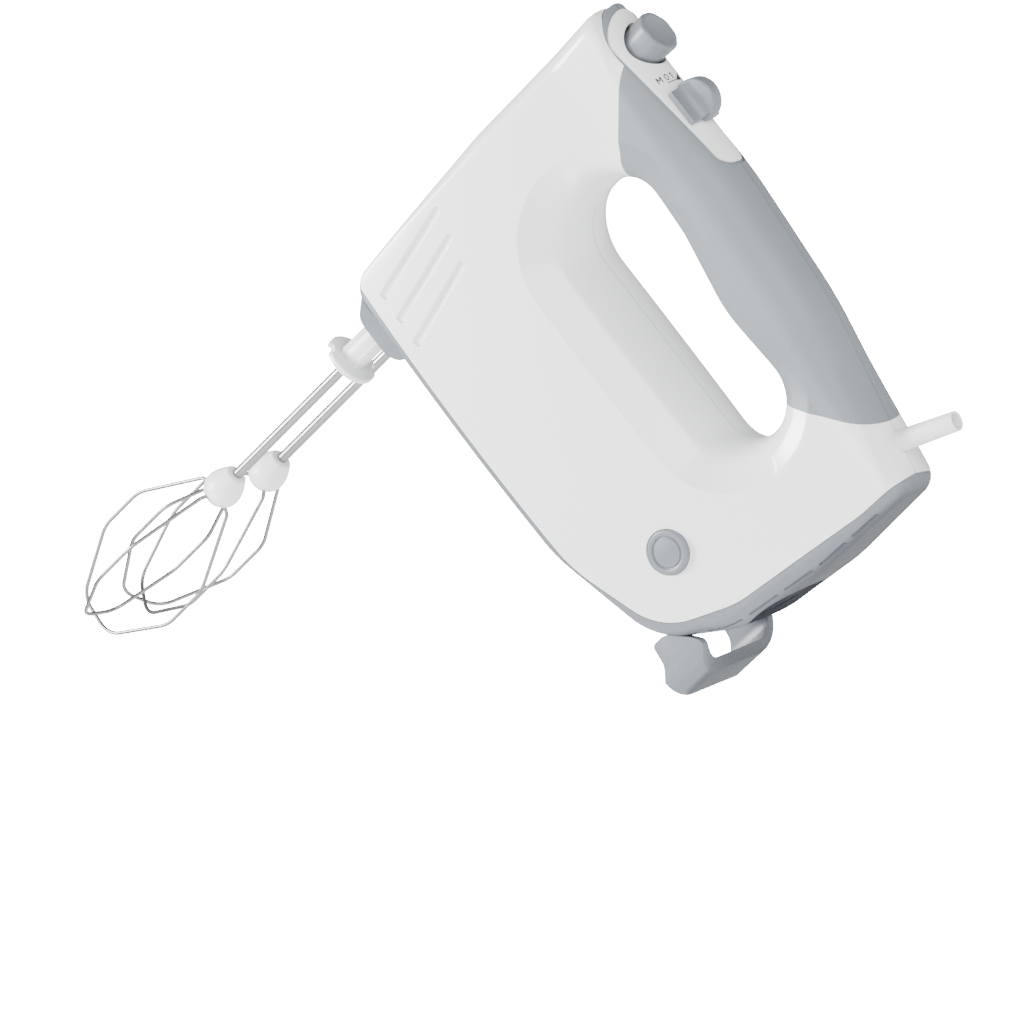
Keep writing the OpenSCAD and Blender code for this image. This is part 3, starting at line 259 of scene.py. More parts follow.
def rounded(corners, steps):
    """A closed outline with each corner rounded, every point keeping its corner's values."""
    points = []
    for i, corner in enumerate(corners):
        at = Vector(corner[:2])
        before = Vector(corners[i - 1][:2]) - at
        after = Vector(corners[(i + 1) % len(corners)][:2]) - at
        u, v = before.normalized(), after.normalized()
        half = math.acos(max(-1, min(1, u.dot(v)))) / 2
        turn = math.pi - 2 * half
        cut = min(corner[2] / math.tan(half), 0.48 * min(before.length, after.length))
        centre = at + (u + v).normalized() * cut / math.cos(half)
        w0, w1 = at + u * cut - centre, at + v * cut - centre
        for k in range(steps + 1):
            f = k / steps
            arm = w0 * math.sin((1 - f) * turn) + w1 * math.sin(f * turn)
            p = centre + arm / math.sin(turn)
            points.append((p.x, p.y, corner[3], corner[4]))
    return points


def crossing(line, start, aim):
    """Where a ray first meets an outline: its distance and the outline's two values there."""
    for i, a in enumerate(line):
        b = line[(i + 1) % len(line)]
        ex, ez = b[0] - a[0], b[1] - a[1]
        den = aim[0] * ez - aim[1] * ex
        if abs(den) < 1e-9:
            continue
        dx, dz = a[0] - start[0], a[1] - start[1]
        t = (dx * ez - dz * ex) / den
        s = (dx * aim[1] - dz * aim[0]) / den
        if 0 <= s < 1 and t > 0:
            return t, a[2] + (b[2] - a[2]) * s, a[3] + (b[3] - a[3]) * s
    raise ValueError("a ray misses the outline")


body_line, opening_line = rounded(body_corners, 24), rounded(opening_corners, 24)
seam_line = rounded(seam_corners, 16)
spine_z = (open_floor + open_top) / 2
front_hub, rear_hub = (open_front + 20, spine_z), (open_back - 18, spine_z)


def ray(start, degrees):
    """One ray: start, aim, reach to the outline and to the opening, and its edge values."""
    aim = (math.cos(math.radians(degrees)), math.sin(math.radians(degrees)))
    reach, edge, square = crossing(body_line, start, aim)
    hole, dish, _ = crossing(opening_line, start, aim)
    seam = crossing(seam_line, start, aim)[0]
    return start, aim, reach, hole, edge, square, dish, max(reach - seam, 0)


def fan(hub, first, last, count):
    """Rays that turn about one end of the spine."""
    return [ray(hub, first + (last - first) * k / (count - 1)) for k in range(count)]


def march(first_x, last_x, degrees, count):
    """Parallel rays that walk along the spine."""
    step = (last_x - first_x) / (count + 1)
    return [ray((first_x + step * (k + 1), spine_z), degrees) for k in range(count)]


def side_width(x, z):
    """Half of the body's width at one place in the side view."""
    low = 34 - 7e-4 * (x - 60) ** 2
    lean = math.cos(math.pi / 2 * min(max(z / (open_top + 5.5), 0), 1))
    return full_round + (low - full_round) * lean


def edge_curve(f, n):
    """A rounded edge that starts square to the outline and ends along the flank."""
    return (1 - (1 - min(max(f, 0), 1)) ** n) ** (1 / n)


def skin(r, depth, sunk):
    """A point of the skin, at a depth below the outline along one ray."""
    start, aim, reach, hole, edge, square, dish, _ = r
    x, z = start[0] + aim[0] * (reach - depth), start[1] + aim[1] * (reach - depth)
    span = reach - hole - 2 * sunk
    inward = span - (depth - sunk)
    edge = max(min(edge - sunk, 0.48 * span), 0.6)
    lip = max(min(full_round + (6 - full_round) * dish - sunk, 0.48 * span), 0.6)
    slope = dish * 0.45
    rim = (1 - slope) * edge_curve(inward / lip, 2) + slope * min(1, inward / 15)
    y = (side_width(x, z) - sunk) * edge_curve((depth - sunk) / edge, square) * rim
    return min(x, heel_plane - sunk), y, z


def section(r, sunk, start):
    """The cross-section on one ray, its points closest where the skin curves most."""
    span, end = r[2] - r[3] - 2 * sunk, r[2] - r[3] - sunk
    edge_end = max(start + 1.5, sunk + min(r[4] - sunk, 0.48 * span))
    rim_start = end - min(15, 0.48 * span)
    depths = [start + (edge_end - start) * (1 - math.cos(math.pi / 2 * j / 20) ** (2 / r[5]))
              for j in range(21)]
    depths += [edge_end + (rim_start - edge_end) * j / 12 for j in range(1, 12)]
    depths += [end - (end - rim_start) * (1 - math.cos(math.pi / 2 * j / 22))
               for j in range(22, -1, -1)]
    return [skin(r, d, sunk) for d in depths]


def drawn(name, data):
    """Puts a new mesh or curve in the scene as the one selected object."""
    piece = bpy.data.objects.new(name, data)
    bpy.context.scene.collection.objects.link(piece)
    bpy.ops.object.select_all(action="DESELECT")
    bpy.context.view_layer.objects.active = piece
    piece.select_set(True)
    return piece


def extruded(name, outline, pull):
    """A closed solid: a flat outline pulled along a vector."""
    mesh = bpy.data.meshes.new(name)
    mesh.from_pydata(outline, [], [tuple(range(len(outline)))])
    piece = drawn(name, mesh)
    bpy.ops.object.mode_set(mode="EDIT")
    bpy.ops.mesh.select_all(action="SELECT")
    bpy.ops.mesh.extrude_region_move(TRANSFORM_OT_translate={"value": pull})
    bpy.ops.mesh.select_all(action="SELECT")
    bpy.ops.mesh.normals_make_consistent(inside=False)
    bpy.ops.object.mode_set(mode="OBJECT")
    return piece


def soften(piece, width, segments, angle=30):
    """Rounds the edges of the active piece that turn by more than an angle in degrees."""
    edge = piece.modifiers.new("edge", "BEVEL")
    edge.width, edge.segments = width, segments
    edge.limit_method, edge.angle_limit = "ANGLE", math.radians(angle)
    bpy.ops.object.modifier_apply(modifier="edge")


def sheet_between(name, outer, inner, ring, side):
    """A closed sheet of material between an outer and an inner grid of points."""
    rows, cols = len(outer), len(outer[0])
    points = [(x, y * side, z) for row in outer + inner for x, y, z in row]
    below = rows * cols
    faces = []
    for i in range(rows if ring else rows - 1):
        a, b = i * cols, (i + 1) % rows * cols
        for j in range(cols - 1):
            faces.append((a + j, b + j, b + j + 1, a + j + 1))
            faces.append((below + a + j, below + a + j + 1, below + b + j + 1, below + b + j))
        for j in (0, cols - 1):
            faces.append((a + j, below + a + j, below + b + j, b + j))
    if not ring:
        for a in (0, (rows - 1) * cols):
            faces += [(a + j, a + j + 1, below + a + j + 1, below + a + j)
                      for j in range(cols - 1)]
    mesh = bpy.data.meshes.new(name)
    mesh.from_pydata(points, [], faces)
    piece = drawn(name, mesh)
    bpy.ops.object.mode_set(mode="EDIT")
    bpy.ops.mesh.select_all(action="SELECT")
    bpy.ops.mesh.remove_doubles(threshold=0.002)
    bpy.ops.mesh.normals_make_consistent(inside=False)
    bpy.ops.object.mode_set(mode="OBJECT")
    return piece


def carve(piece, *cutters, how="DIFFERENCE"):
    """Cuts each cutter's shape out of a piece and throws the cutters away."""
    for cutter in cutters:
        cut = piece.modifiers.new("cut", "BOOLEAN")
        cut.object, cut.operation, cut.solver = cutter, how, "EXACT"
        bpy.ops.object.select_all(action="DESELECT")
        bpy.context.view_layer.objects.active = piece
        piece.select_set(True)
        bpy.ops.object.modifier_apply(modifier=cut.name)
        bpy.data.objects.remove(cutter)


foot_reach = crossing(body_line, (front_hub[0], belt_h), (-1, 0))[0]
belt_from = math.degrees(math.atan2(belt_h - spine_z, -foot_reach)) % 360
cap_reach = crossing(body_line, (164.7, spine_z), (0, 1))[0]
belt_to = math.degrees(math.atan2(cap_reach, 164.7 - rear_hub[0]))
grip_rays = (fan(rear_hub, 39, 90, 36) + march(rear_hub[0], front_hub[0], 90, 30)
             + fan(front_hub, 90, 135, 30))
nose_rays = fan(front_hub, 135.02, belt_from + 0.2, 90)
belt_rays = (fan(front_hub, belt_from + 0.3, 270, 40) + march(front_hub[0], rear_hub[0], 270, 34)
             + fan(rear_hub, -90, belt_to - 0.1, 96))
tail_rays = fan(rear_hub, belt_to + 0.05, 38.94, 8)
plate_r, knob_z = full_round + 0.3, body_h - full_round


def control_outline(grow_end, grow_side, height, low):
    """A prism over the control plate's tapering plan, grown by a margin."""
    corners = [(-24 - grow_end, -13 - grow_side, 12), (-24 - grow_end, 13 + grow_side, 12),
               (43 + grow_side, 6.5 + grow_side, 6), (43 + grow_side, -6.5 - grow_side, 6)]
    line = rounded([(x, y, r, 0, 0) for x, y, r in corners], 14)
    return extruded("plan", [(p[0], p[1], low) for p in line], (0, 0, height))


for side, name in ((-1, "left"), (1, "right")):
    covered = [section(r, grip_t, grip_t) for r in grip_rays]
    plain = nose_rays + belt_rays + tail_rays
    bare = [section(r, 0, r[7] + min(0.12, r[7] / 6)) for r in plain]
    hidden = [section(r, grip_t + wall, grip_t + wall) for r in grip_rays]
    lining = [section(r, wall, max(wall, r[7])) for r in plain]
    half = sheet_between("housing_" + name, covered + bare, hidden + lining, True, side)
    cutters = [control_outline(3.2, 1.1, 30, knob_z + 4)]
    bpy.ops.mesh.primitive_cylinder_add(vertices=64, radius=4.1, depth=40, location=(
        cord_x + 8 * math.sin(cord_lean), 0, cord_z + 8 * math.cos(cord_lean)),
        rotation=(0, cord_lean, 0))
    cutters.append(bpy.context.object)
    for k in range(3):
        foot = Vector((-5.5 + k * 10.3 + 1.5, 11.5))
        head = foot + Vector((-9, 36 - 2.2 * k))
        low = Vector((foot.x, side * (side_width(*foot) + 3.0), foot.y))
        high = Vector((head.x, side * (side_width(*head) + 3.0), head.y))
        bpy.ops.mesh.primitive_cube_add(size=1, location=(low + high) / 2)
        groove = bpy.context.object
        groove.scale = (3.4, 8.2, (high - low).length + 2)
        along = (high - low).normalized()
        across = Vector((0, side, 0)).cross(along).normalized()
        groove.rotation_euler = Matrix((across, along.cross(across), along)).transposed().to_euler()
        bpy.ops.object.transform_apply(location=False, rotation=False, scale=True)
        soften(groove, 0.8, 4)
        cutters.append(groove)
    if side < 0:
        bpy.ops.mesh.primitive_cylinder_add(vertices=96, radius=8.2, depth=30,
                                            location=(release_x, -30, release_z),
                                            rotation=(math.pi / 2, 0, 0))
        cutters.append(bpy.context.object)
    else:
        for x, z in screw_places:
            bpy.ops.mesh.primitive_cylinder_add(vertices=40, radius=3.0, depth=60,
                                                location=(x, 38, z),
                                                rotation=(math.pi / 2, 0, 0))
            cutters.append(bpy.context.object)
    carve(half, *cutters)
    stood(half, "housing", "shell_" + name)
    half.data.materials.append(shell_white)

# ---- Grip -----------------------------------------------------------------------------
# A soft elastomer layer is moulded over the handle in two halves, flush with the white
# skin in front of and behind it and cut away under the control plate.
for side, name in ((-1, "left"), (1, "right")):
    over = [section(r, 0, 0) for r in grip_rays]
    under = [section(r, grip_t, grip_t) for r in grip_rays]
    pad = sheet_between("soft_grip_" + name, over, under, False, side)
    carve(pad, control_outline(3.2, 1.1, 30, knob_z + 4))
    stood(pad, "housing", "grip_" + name)
    pad.data.materials.append(grip_grey)

# ---- Belt and heel cap ----------------------------------------------------------------
# One grey moulding closes the base and the back of the body. It carries a round port for
# rear attachments and two rows of cooling slots beside it.


def belt_row(r, sunk):
    """The belt's cross-section on one ray, from the left-hand seam to the right-hand one."""
    row = []
    for j in range(-20, 21):
        f = 1 - max(math.cos(math.pi / 2 * abs(j) / 20), 0) ** (2 / r[5])
        x, y, z = skin(r, sunk + (r[7] - min(0.12, r[7] / 6) - sunk) * f, sunk)
        row.append((x, -y if j < 0 else y, z))
    return row


belt = sheet_between("base_belt", [belt_row(r, 0) for r in belt_rays],
                     [belt_row(r, min(wall, 0.6 * r[7])) for r in belt_rays], False, 1)
bpy.ops.mesh.primitive_cylinder_add(vertices=128, radius=port_r, depth=40,
                                    location=(165, 0, port_z), rotation=(0, math.pi / 2, 0))
cutters = [bpy.context.object]
bpy.ops.mesh.primitive_cube_add(size=1, location=(2, 0, 1.5))
nose_opening = bpy.context.object
nose_opening.scale = (24, 47, 9)
cutters.append(nose_opening)
slit_from, slit_pitch, slit_l, slit_w = 28, 16, 13, 1.6
for side in (-1, 1):
    for k in range(5):
        along = k * slit_pitch + slit_l / 2
        lean = side * math.radians(7.5)
        bpy.ops.mesh.primitive_cube_add(size=1, rotation=(lean, 0, 0), location=(
            168, side * 22.3 - math.sin(lean) * along, slit_from + math.cos(lean) * along))
        slit = bpy.context.object
        slit.scale = (20, slit_w, slit_l)
        bpy.ops.object.transform_apply(location=False, rotation=False, scale=True)
        soften(slit, 0.7, 3)
        cutters.append(slit)
carve(belt, *cutters)
stood(belt, "housing", "base_tray")
belt.data.materials.append(belt_grey)

# The port's collar stands behind the hole, and its mouth is cut to the cap's lean.
collar_t, cap_lean = 1.8, math.radians(9.6)
bpy.ops.mesh.primitive_cylinder_add(vertices=128, radius=port_r + collar_t, depth=13,
                                    end_fill_type="NOTHING", location=(161.5, 0, port_z),
                                    rotation=(0, math.pi / 2, 0))
collar = bpy.context.object
collar.name = "port_collar"
bpy.ops.object.transform_apply(location=True, rotation=True, scale=True)
bpy.ops.object.mode_set(mode="EDIT")
bpy.ops.mesh.select_all(action="SELECT")
bpy.ops.mesh.bisect(plane_co=(162, 0, port_z - port_r), clear_outer=True,
                    plane_no=(math.cos(cap_lean), 0, -math.sin(cap_lean)))
bpy.ops.object.mode_set(mode="OBJECT")
ring_wall = collar.modifiers.new("wall", "SOLIDIFY")
ring_wall.thickness, ring_wall.offset = collar_t, -1
bpy.ops.object.modifier_apply(modifier="wall")
soften(collar, 0.4, 3)
stood(collar, "housing")
collar.data.materials.append(belt_grey)

# ---- Socket boss ----------------------------------------------------------------------
# A tapered grey pad under the nose holds the lower ends of the two drive sockets.
bpy.ops.mesh.primitive_cube_add(size=1, location=(2, 0, -4.5))
boss = bpy.context.object
boss.name = "nose_boss"
boss.scale = (30, 53, 9)
bpy.ops.object.transform_apply(location=True, rotation=True, scale=True)
bpy.ops.object.mode_set(mode="EDIT")
shape = bmesh.from_edit_mesh(boss.data)
for corner in shape.verts:
    if corner.co.z < -5:
        corner.co.x += 4 if corner.co.x < 2 else -4
        corner.co.y += 4 if corner.co.y < 0 else -4
upright = [e for e in shape.edges if abs(e.verts[0].co.z - e.verts[1].co.z) > 5]
bmesh.ops.bevel(shape, geom=upright, offset=6, segments=10, affect="EDGES", profile=0.5)
rim = [e for e in shape.edges if all(v.co.z < -8.9 for v in e.verts)]
bmesh.ops.bevel(shape, geom=rim, offset=1.6, segments=5, affect="EDGES", profile=0.5)
bmesh.update_edit_mesh(boss.data)
bpy.ops.object.mode_set(mode="OBJECT")
cutters = []
for side in (-1, 1):
    bpy.ops.mesh.primitive_cylinder_add(vertices=96, radius=6.05, depth=40,
                                        location=(0, side * whisk_y, 0))
    cutters.append(bpy.context.object)
carve(boss, *cutters)
stood(boss, "housing", "socket_boss")
boss.data.materials.append(belt_grey)

# ---- Heel bracket ---------------------------------------------------------------------
# A moulded hoop stands out behind the lower rear corner. It is the foot the mixer rests
# on, and the cord can be wound round it.
profile = [(150, 7), (158, 6), (162.6, 2), (170, 2), (170, 16), (165, 21), (161, 24.5),
           (157, 21.5), (153, 17), (150, 13.5)]
hoop_w = 48
hoop = extruded("heel_hoop", [(x, -hoop_w / 2, z) for x, z in profile], (0, hoop_w, 0))
bpy.ops.object.mode_set(mode="EDIT")
shape = bmesh.from_edit_mesh(hoop.data)
back_corners = [e for e in shape.edges if all(v.co.x > 169.9 for v in e.verts)
                and abs(e.verts[0].co.z - e.verts[1].co.z) > 5]
bmesh.ops.bevel(shape, geom=back_corners, offset=9, segments=14, affect="EDGES", profile=0.5)
bends = [e for e in shape.edges if abs(e.verts[0].co.y - e.verts[1].co.y) > 40
         and all(v.co.x < 164 for v in e.verts)]
bmesh.ops.bevel(shape, geom=bends, offset=1.8, segments=6, affect="EDGES", profile=0.5)
bmesh.update_edit_mesh(hoop.data)
bpy.ops.object.mode_set(mode="OBJECT")
bpy.ops.mesh.primitive_cube_add(size=1, location=(146.5, 0, 14))
inside = bpy.context.object
inside.scale = (40, hoop_w - 7, 34)
bpy.ops.object.transform_apply(location=False, rotation=False, scale=True)
bpy.ops.object.mode_set(mode="EDIT")
shape = bmesh.from_edit_mesh(inside.data)
deep = [e for e in shape.edges if all(v.co.x > 15 for v in e.verts)
        and abs(e.verts[0].co.z - e.verts[1].co.z) > 5]
bmesh.ops.bevel(shape, geom=deep, offset=6, segments=12, affect="EDGES", profile=0.5)
bmesh.update_edit_mesh(inside.data)
bpy.ops.object.mode_set(mode="OBJECT")
carve(hoop, inside)
soften(hoop, 0.7, 3, 40)
stood(hoop, "housing", "heel_bracket")
hoop.data.materials.append(belt_grey)

# ---- Control plate --------------------------------------------------------------------
# A white plate with a tapering plan lies on top of the head, curved about the speed
# control's hinge, with a thin grey band let in round it.


def curved_slice(name, outline_piece, outer, inner):
    """Cuts a piece to a slice of tube centred on the speed control's hinge."""
    bpy.ops.mesh.primitive_cylinder_add(vertices=256, radius=outer, depth=120,
                                        location=(0, 0, knob_z), rotation=(0, math.pi / 2, 0))
    tube = bpy.context.object
    tube.name = name
    bpy.ops.mesh.primitive_cylinder_add(vertices=256, radius=inner, depth=140,
                                        location=(0, 0, knob_z), rotation=(0, math.pi / 2, 0))
    carve(tube, bpy.context.object)
    carve(tube, outline_piece, how="INTERSECT")
    return tube


plate = curved_slice("control_plate_top", control_outline(0, 0, 40, knob_z + 4), plate_r,
                     plate_r - 2.2)
bpy.ops.mesh.primitive_cylinder_add(vertices=96, radius=8.95, depth=40,
                                    location=(eject_x, 0, knob_z + 20))
eject_hole = bpy.context.object
slot_from, slot_to, slot_x, slot_w = -16, 28, 14.6, 6.8
arc = [math.radians(90 - slot_from - (slot_to - slot_from) * k / 12) for k in range(13)]
slot = extruded("slot", [(slot_x, 0, knob_z)] + [
    (slot_x, 18 * math.cos(a), knob_z + 18 * math.sin(a)) for a in arc], (slot_w, 0, 0))
carve(plate, eject_hole, slot)
stood(plate, "housing", "control_plate")
plate.data.materials.append(trim_white)

band = curved_slice("plate_band", control_outline(3.0, 0.9, 40, knob_z + 4), plate_r - 0.4,
                    plate_r - 2.2)
carve(band, control_outline(0.02, 0.02, 44, knob_z + 2))
stood(band, "housing", "plate_bezel")
band.data.materials.append(grip_grey)

# ---- Turned pieces --------------------------------------------------------------------
# The sleeve, the release button, the rods, collars and hubs are round, so each is spun
# from half of its profile.


def turned(name, profile, steps=96):
    """Spins a half profile of (radius, height) points about the z axis, in edit mode."""
    mesh = bpy.data.meshes.new(name)
    mesh.from_pydata([(r, 0, z) for r, z in profile],
                     [(i, i + 1) for i in range(len(profile) - 1)], [])
    piece = drawn(name, mesh)
    bpy.ops.object.mode_set(mode="EDIT")
    bpy.ops.mesh.select_all(action="SELECT")
    bpy.ops.mesh.spin(steps=steps, angle=2 * math.pi, center=(0, 0, 0), axis=(0, 0, 1))
    bpy.ops.mesh.select_all(action="SELECT")
    bpy.ops.mesh.remove_doubles(threshold=0.0005)
    bpy.ops.mesh.normals_make_consistent(inside=False)
    bpy.ops.object.mode_set(mode="OBJECT")
    return piece


# ---- Cord sleeve ----------------------------------------------------------------------
# A soft white sleeve leads out of the rear of the handle. It tapers towards its open end
# and has a rolled lip; its collar is held between the two housing halves.
lip = [(3.3 + 0.3 * math.cos(a), 25.7 + 0.3 * math.sin(a))
       for a in [math.pi * k / 8 for k in range(9)]]
sleeve = turned("cord_sleeve_boot", [
    (2.7, -7.5), (5.6, -7.5), (5.6, -5.0), (4.0, -5.0), (4.0, 0.0), (4.15, 0.6), (4.15, 1.6),
    (3.95, 2.4), (3.75, 14.0), (3.6, 25.7)] + lip[1:] + [(2.85, 25.7), (2.7, 25.2), (2.7, -7.5)])
sleeve.rotation_euler = (0, cord_lean, 0)
sleeve.location = (cord_x, 0, cord_z)
stood(sleeve, "housing", "cord_sleeve")
sleeve.data.materials.append(trim_white)

# ---- Release button -------------------------------------------------------------------
# The round grey button low on the left flank has a shallow ring round a low dome. It
# slides in against a small spring.
dome = [(5.2 * (1 - k / 12), 6.75 + 0.45 * math.sin(math.pi / 2 * k / 12)) for k in range(13)]
release = turned("release_cap", [
    (6.0, 0.0), (8.0, 0.0), (8.0, 6.2), (7.9, 6.6), (7.6, 6.9), (7.2, 7.0), (6.2, 7.0),
    (5.95, 6.85), (5.85, 6.45), (5.6, 6.35), (5.35, 6.45)] + dome
    + [(0.0, 5.0), (6.0, 5.0), (6.0, 0.0)])
release.rotation_euler = (math.pi / 2, 0, 0)
release.location = (release_x, 6 - side_width(release_x, release_z), release_z)
stood(release, "release", "release_button")
release.data.materials.append(belt_grey)

# ---- Eject button ---------------------------------------------------------------------
# A moulded grey cap with eight soft facets and a dished top. Pressing it drives both
# whisks out of their sockets, and a blind bore from below leaves room for its spring.
eject_low, eject_high = 130, 146
eject_mid = (eject_low + eject_high) / 2
bpy.ops.mesh.primitive_cylinder_add(vertices=8, radius=8.7, depth=eject_high - eject_low,
                                    location=(eject_x, 0, eject_mid),
                                    rotation=(0, 0, math.pi / 8))
eject = bpy.context.object
eject.name = "eject_cap"
bpy.ops.object.transform_apply(location=True, rotation=True, scale=True)
bpy.ops.object.mode_set(mode="EDIT")
shape = bmesh.from_edit_mesh(eject.data)
for corner in shape.verts:
    if corner.co.z < eject_mid:
        corner.co.x = eject_x + (corner.co.x - eject_x) * 0.93
        corner.co.y *= 0.93
upright = [e for e in shape.edges if abs(e.verts[0].co.z - e.verts[1].co.z) > 5]
bmesh.ops.bevel(shape, geom=upright, offset=2.0, segments=5, affect="EDGES", profile=0.5)
rim = [e for e in shape.edges if all(v.co.z > eject_high - 0.1 for v in e.verts)]
bmesh.ops.bevel(shape, geom=rim, offset=0.9, segments=4, affect="EDGES", profile=0.5)
bmesh.update_edit_mesh(eject.data)
bpy.ops.object.mode_set(mode="OBJECT")
bpy.ops.mesh.primitive_uv_sphere_add(segments=128, ring_count=96, radius=14,
                                     location=(eject_x, 0, eject_high + 12.4))
dish = bpy.context.object
bpy.ops.mesh.primitive_cylinder_add(vertices=96, radius=6.9, depth=8,
                                    location=(eject_x, 0, eject_low + 1.05))
carve(eject, dish, bpy.context.object)
soften(eject, 0.35, 3, 26)
stood(eject, "ejector", "eject_button", crease=38)
eject.data.materials.append(belt_grey)

# ---- Speed control --------------------------------------------------------------------
# A saddle rides over the control plate and its hollow flanks sweep up to a flat-faced
# round fin, which the thumb pushes from side to side.
skirt, hollow_steps = 29, 14
saddle_x, saddle_l, saddle_top, fin_x = 11.2, 13.6, 139.6, 18
ring = []
for k in range(25):
    a = math.radians(skirt - 2 * skirt * k / 24)
    ring.append((16.35 * math.sin(a), knob_z + 16.35 * math.cos(a)))
for s in (-1, 1):
    sweep = []
    for k in range(hollow_steps + 1):
        t = math.pi / 2 * k / hollow_steps
        sweep.append((s * (2.9 + 5.9 * (1 - math.sin(t))), saddle_top + 6.0 * (1 - math.cos(t))))
    ring += sweep if s < 0 else sweep[::-1]
knob = extruded("speed_saddle", [(saddle_x, y, z) for y, z in ring], (saddle_l, 0, 0))
soften(knob, 0.7, 4, 50)
bpy.ops.mesh.primitive_cylinder_add(vertices=128, radius=8, depth=6,
                                    location=(fin_x, 0, saddle_top + 1.5),
                                    rotation=(math.pi / 2, 0, 0))
fin = bpy.context.object
fin.name = "speed_fin"
soften(fin, 0.9, 5)
bpy.ops.mesh.primitive_cube_add(size=1, location=(fin_x, 0, saddle_top - 10))
below_saddle = bpy.context.object
below_saddle.scale = (40, 40, 20)
carve(fin, below_saddle)
for part, nodes in ((knob, ["speed_knob"]), (fin, [])):
    stood(part, "speed_control", *nodes)
    part.data.materials.append(belt_grey)

# ---- Scale marks ----------------------------------------------------------------------
# Three printed positions in front of the speed control, a line under them, and a black
# wedge that grows towards the faster steps.


def printed(name, strokes):
    """Lays flat strokes on the control plate: each is a polygon in (across, forward) mm."""
    made = bmesh.new()
    for stroke in strokes:
        corners = []
        for across, forward in stroke:
            a = across / plate_r
            corners.append(made.verts.new((
                6.4 - forward, (plate_r + 0.05) * math.sin(a),
                knob_z + (plate_r + 0.05) * math.cos(a))))
        made.faces.new(corners)
    mesh = bpy.data.meshes.new(name)
    made.to_mesh(mesh)
    made.free()
    mark = drawn(name, mesh)
    ink = mark.modifiers.new("ink", "SOLIDIFY")
    ink.thickness, ink.offset = 0.08, 0
    stood(mark, "housing")
    mark.data.materials.append(print_black)


def stroke(x0, y0, x1, y1, w=0.4):
    """A straight stroke of ink as a four-cornered polygon."""
    run = Vector((x1 - x0, y1 - y0)).normalized() * w / 2
    side = Vector((-run.y, run.x))
    return [(x0 + side.x, y0 + side.y), (x1 + side.x, y1 + side.y),
            (x1 - side.x, y1 - side.y), (x0 - side.x, y0 - side.y)]


letter = [stroke(-7.6, 0, -7.6, 2.4), stroke(-7.6, 2.4, -6.7, 0.9), stroke(-6.7, 0.9, -5.8, 2.4),
          stroke(-5.8, 2.4, -5.8, 0)]
nought, around = [], 20
for k in range(around):
    a, b = 2 * math.pi * k / around, 2 * math.pi * (k + 1) / around
    nought.append([(-3.2 + w * math.cos(t), 1.2 + h * math.sin(t))
                   for t, w, h in ((a, 0.95, 1.35), (b, 0.95, 1.35), (b, 0.6, 0.98),
                                   (a, 0.6, 0.98))])
printed("mark_momentary", letter)
printed("mark_off", nought)
printed("mark_first", [stroke(-0.3, 0, -0.3, 2.5), stroke(-0.3, 2.4, -1.0, 1.8, 0.35)])
printed("mark_line", [stroke(-4.4 + k * 0.75, -0.9, -3.65 + k * 0.75, -0.9, 0.3)
                      for k in range(8)])
printed("mark_wedge", [[(1.2 + k * 0.6, -1.2), (1.8 + k * 0.6, -1.2),
                        (1.8 + k * 0.6, -0.6 + (k + 1) * 0.42), (1.2 + k * 0.6, -0.6 + k * 0.42)]
                       for k in range(5)])

# ---- Whisks ---------------------------------------------------------------------------
# Each whisk is a drawn rod with a moulded collar that snaps into the drive socket, and an
# egg-shaped hub moulded over the rod and the ends of two bent wire loops.


def bent_wire(name, points, thick, resolution):
    """Round wire with closed ends along a line of points."""
    path = bpy.data.curves.new(name, "CURVE")
    path.dimensions, path.bevel_depth, path.bevel_resolution = "3D", thick / 2, resolution
    path.use_fill_caps = True
    track = path.splines.new("POLY")
    track.points.add(len(points) - 1)
    for point, place in zip(track.points, points):
        point.co = (*place, 1)
    drawn(name, path)
    bpy.ops.object.convert(target="MESH")
    return bpy.context.object


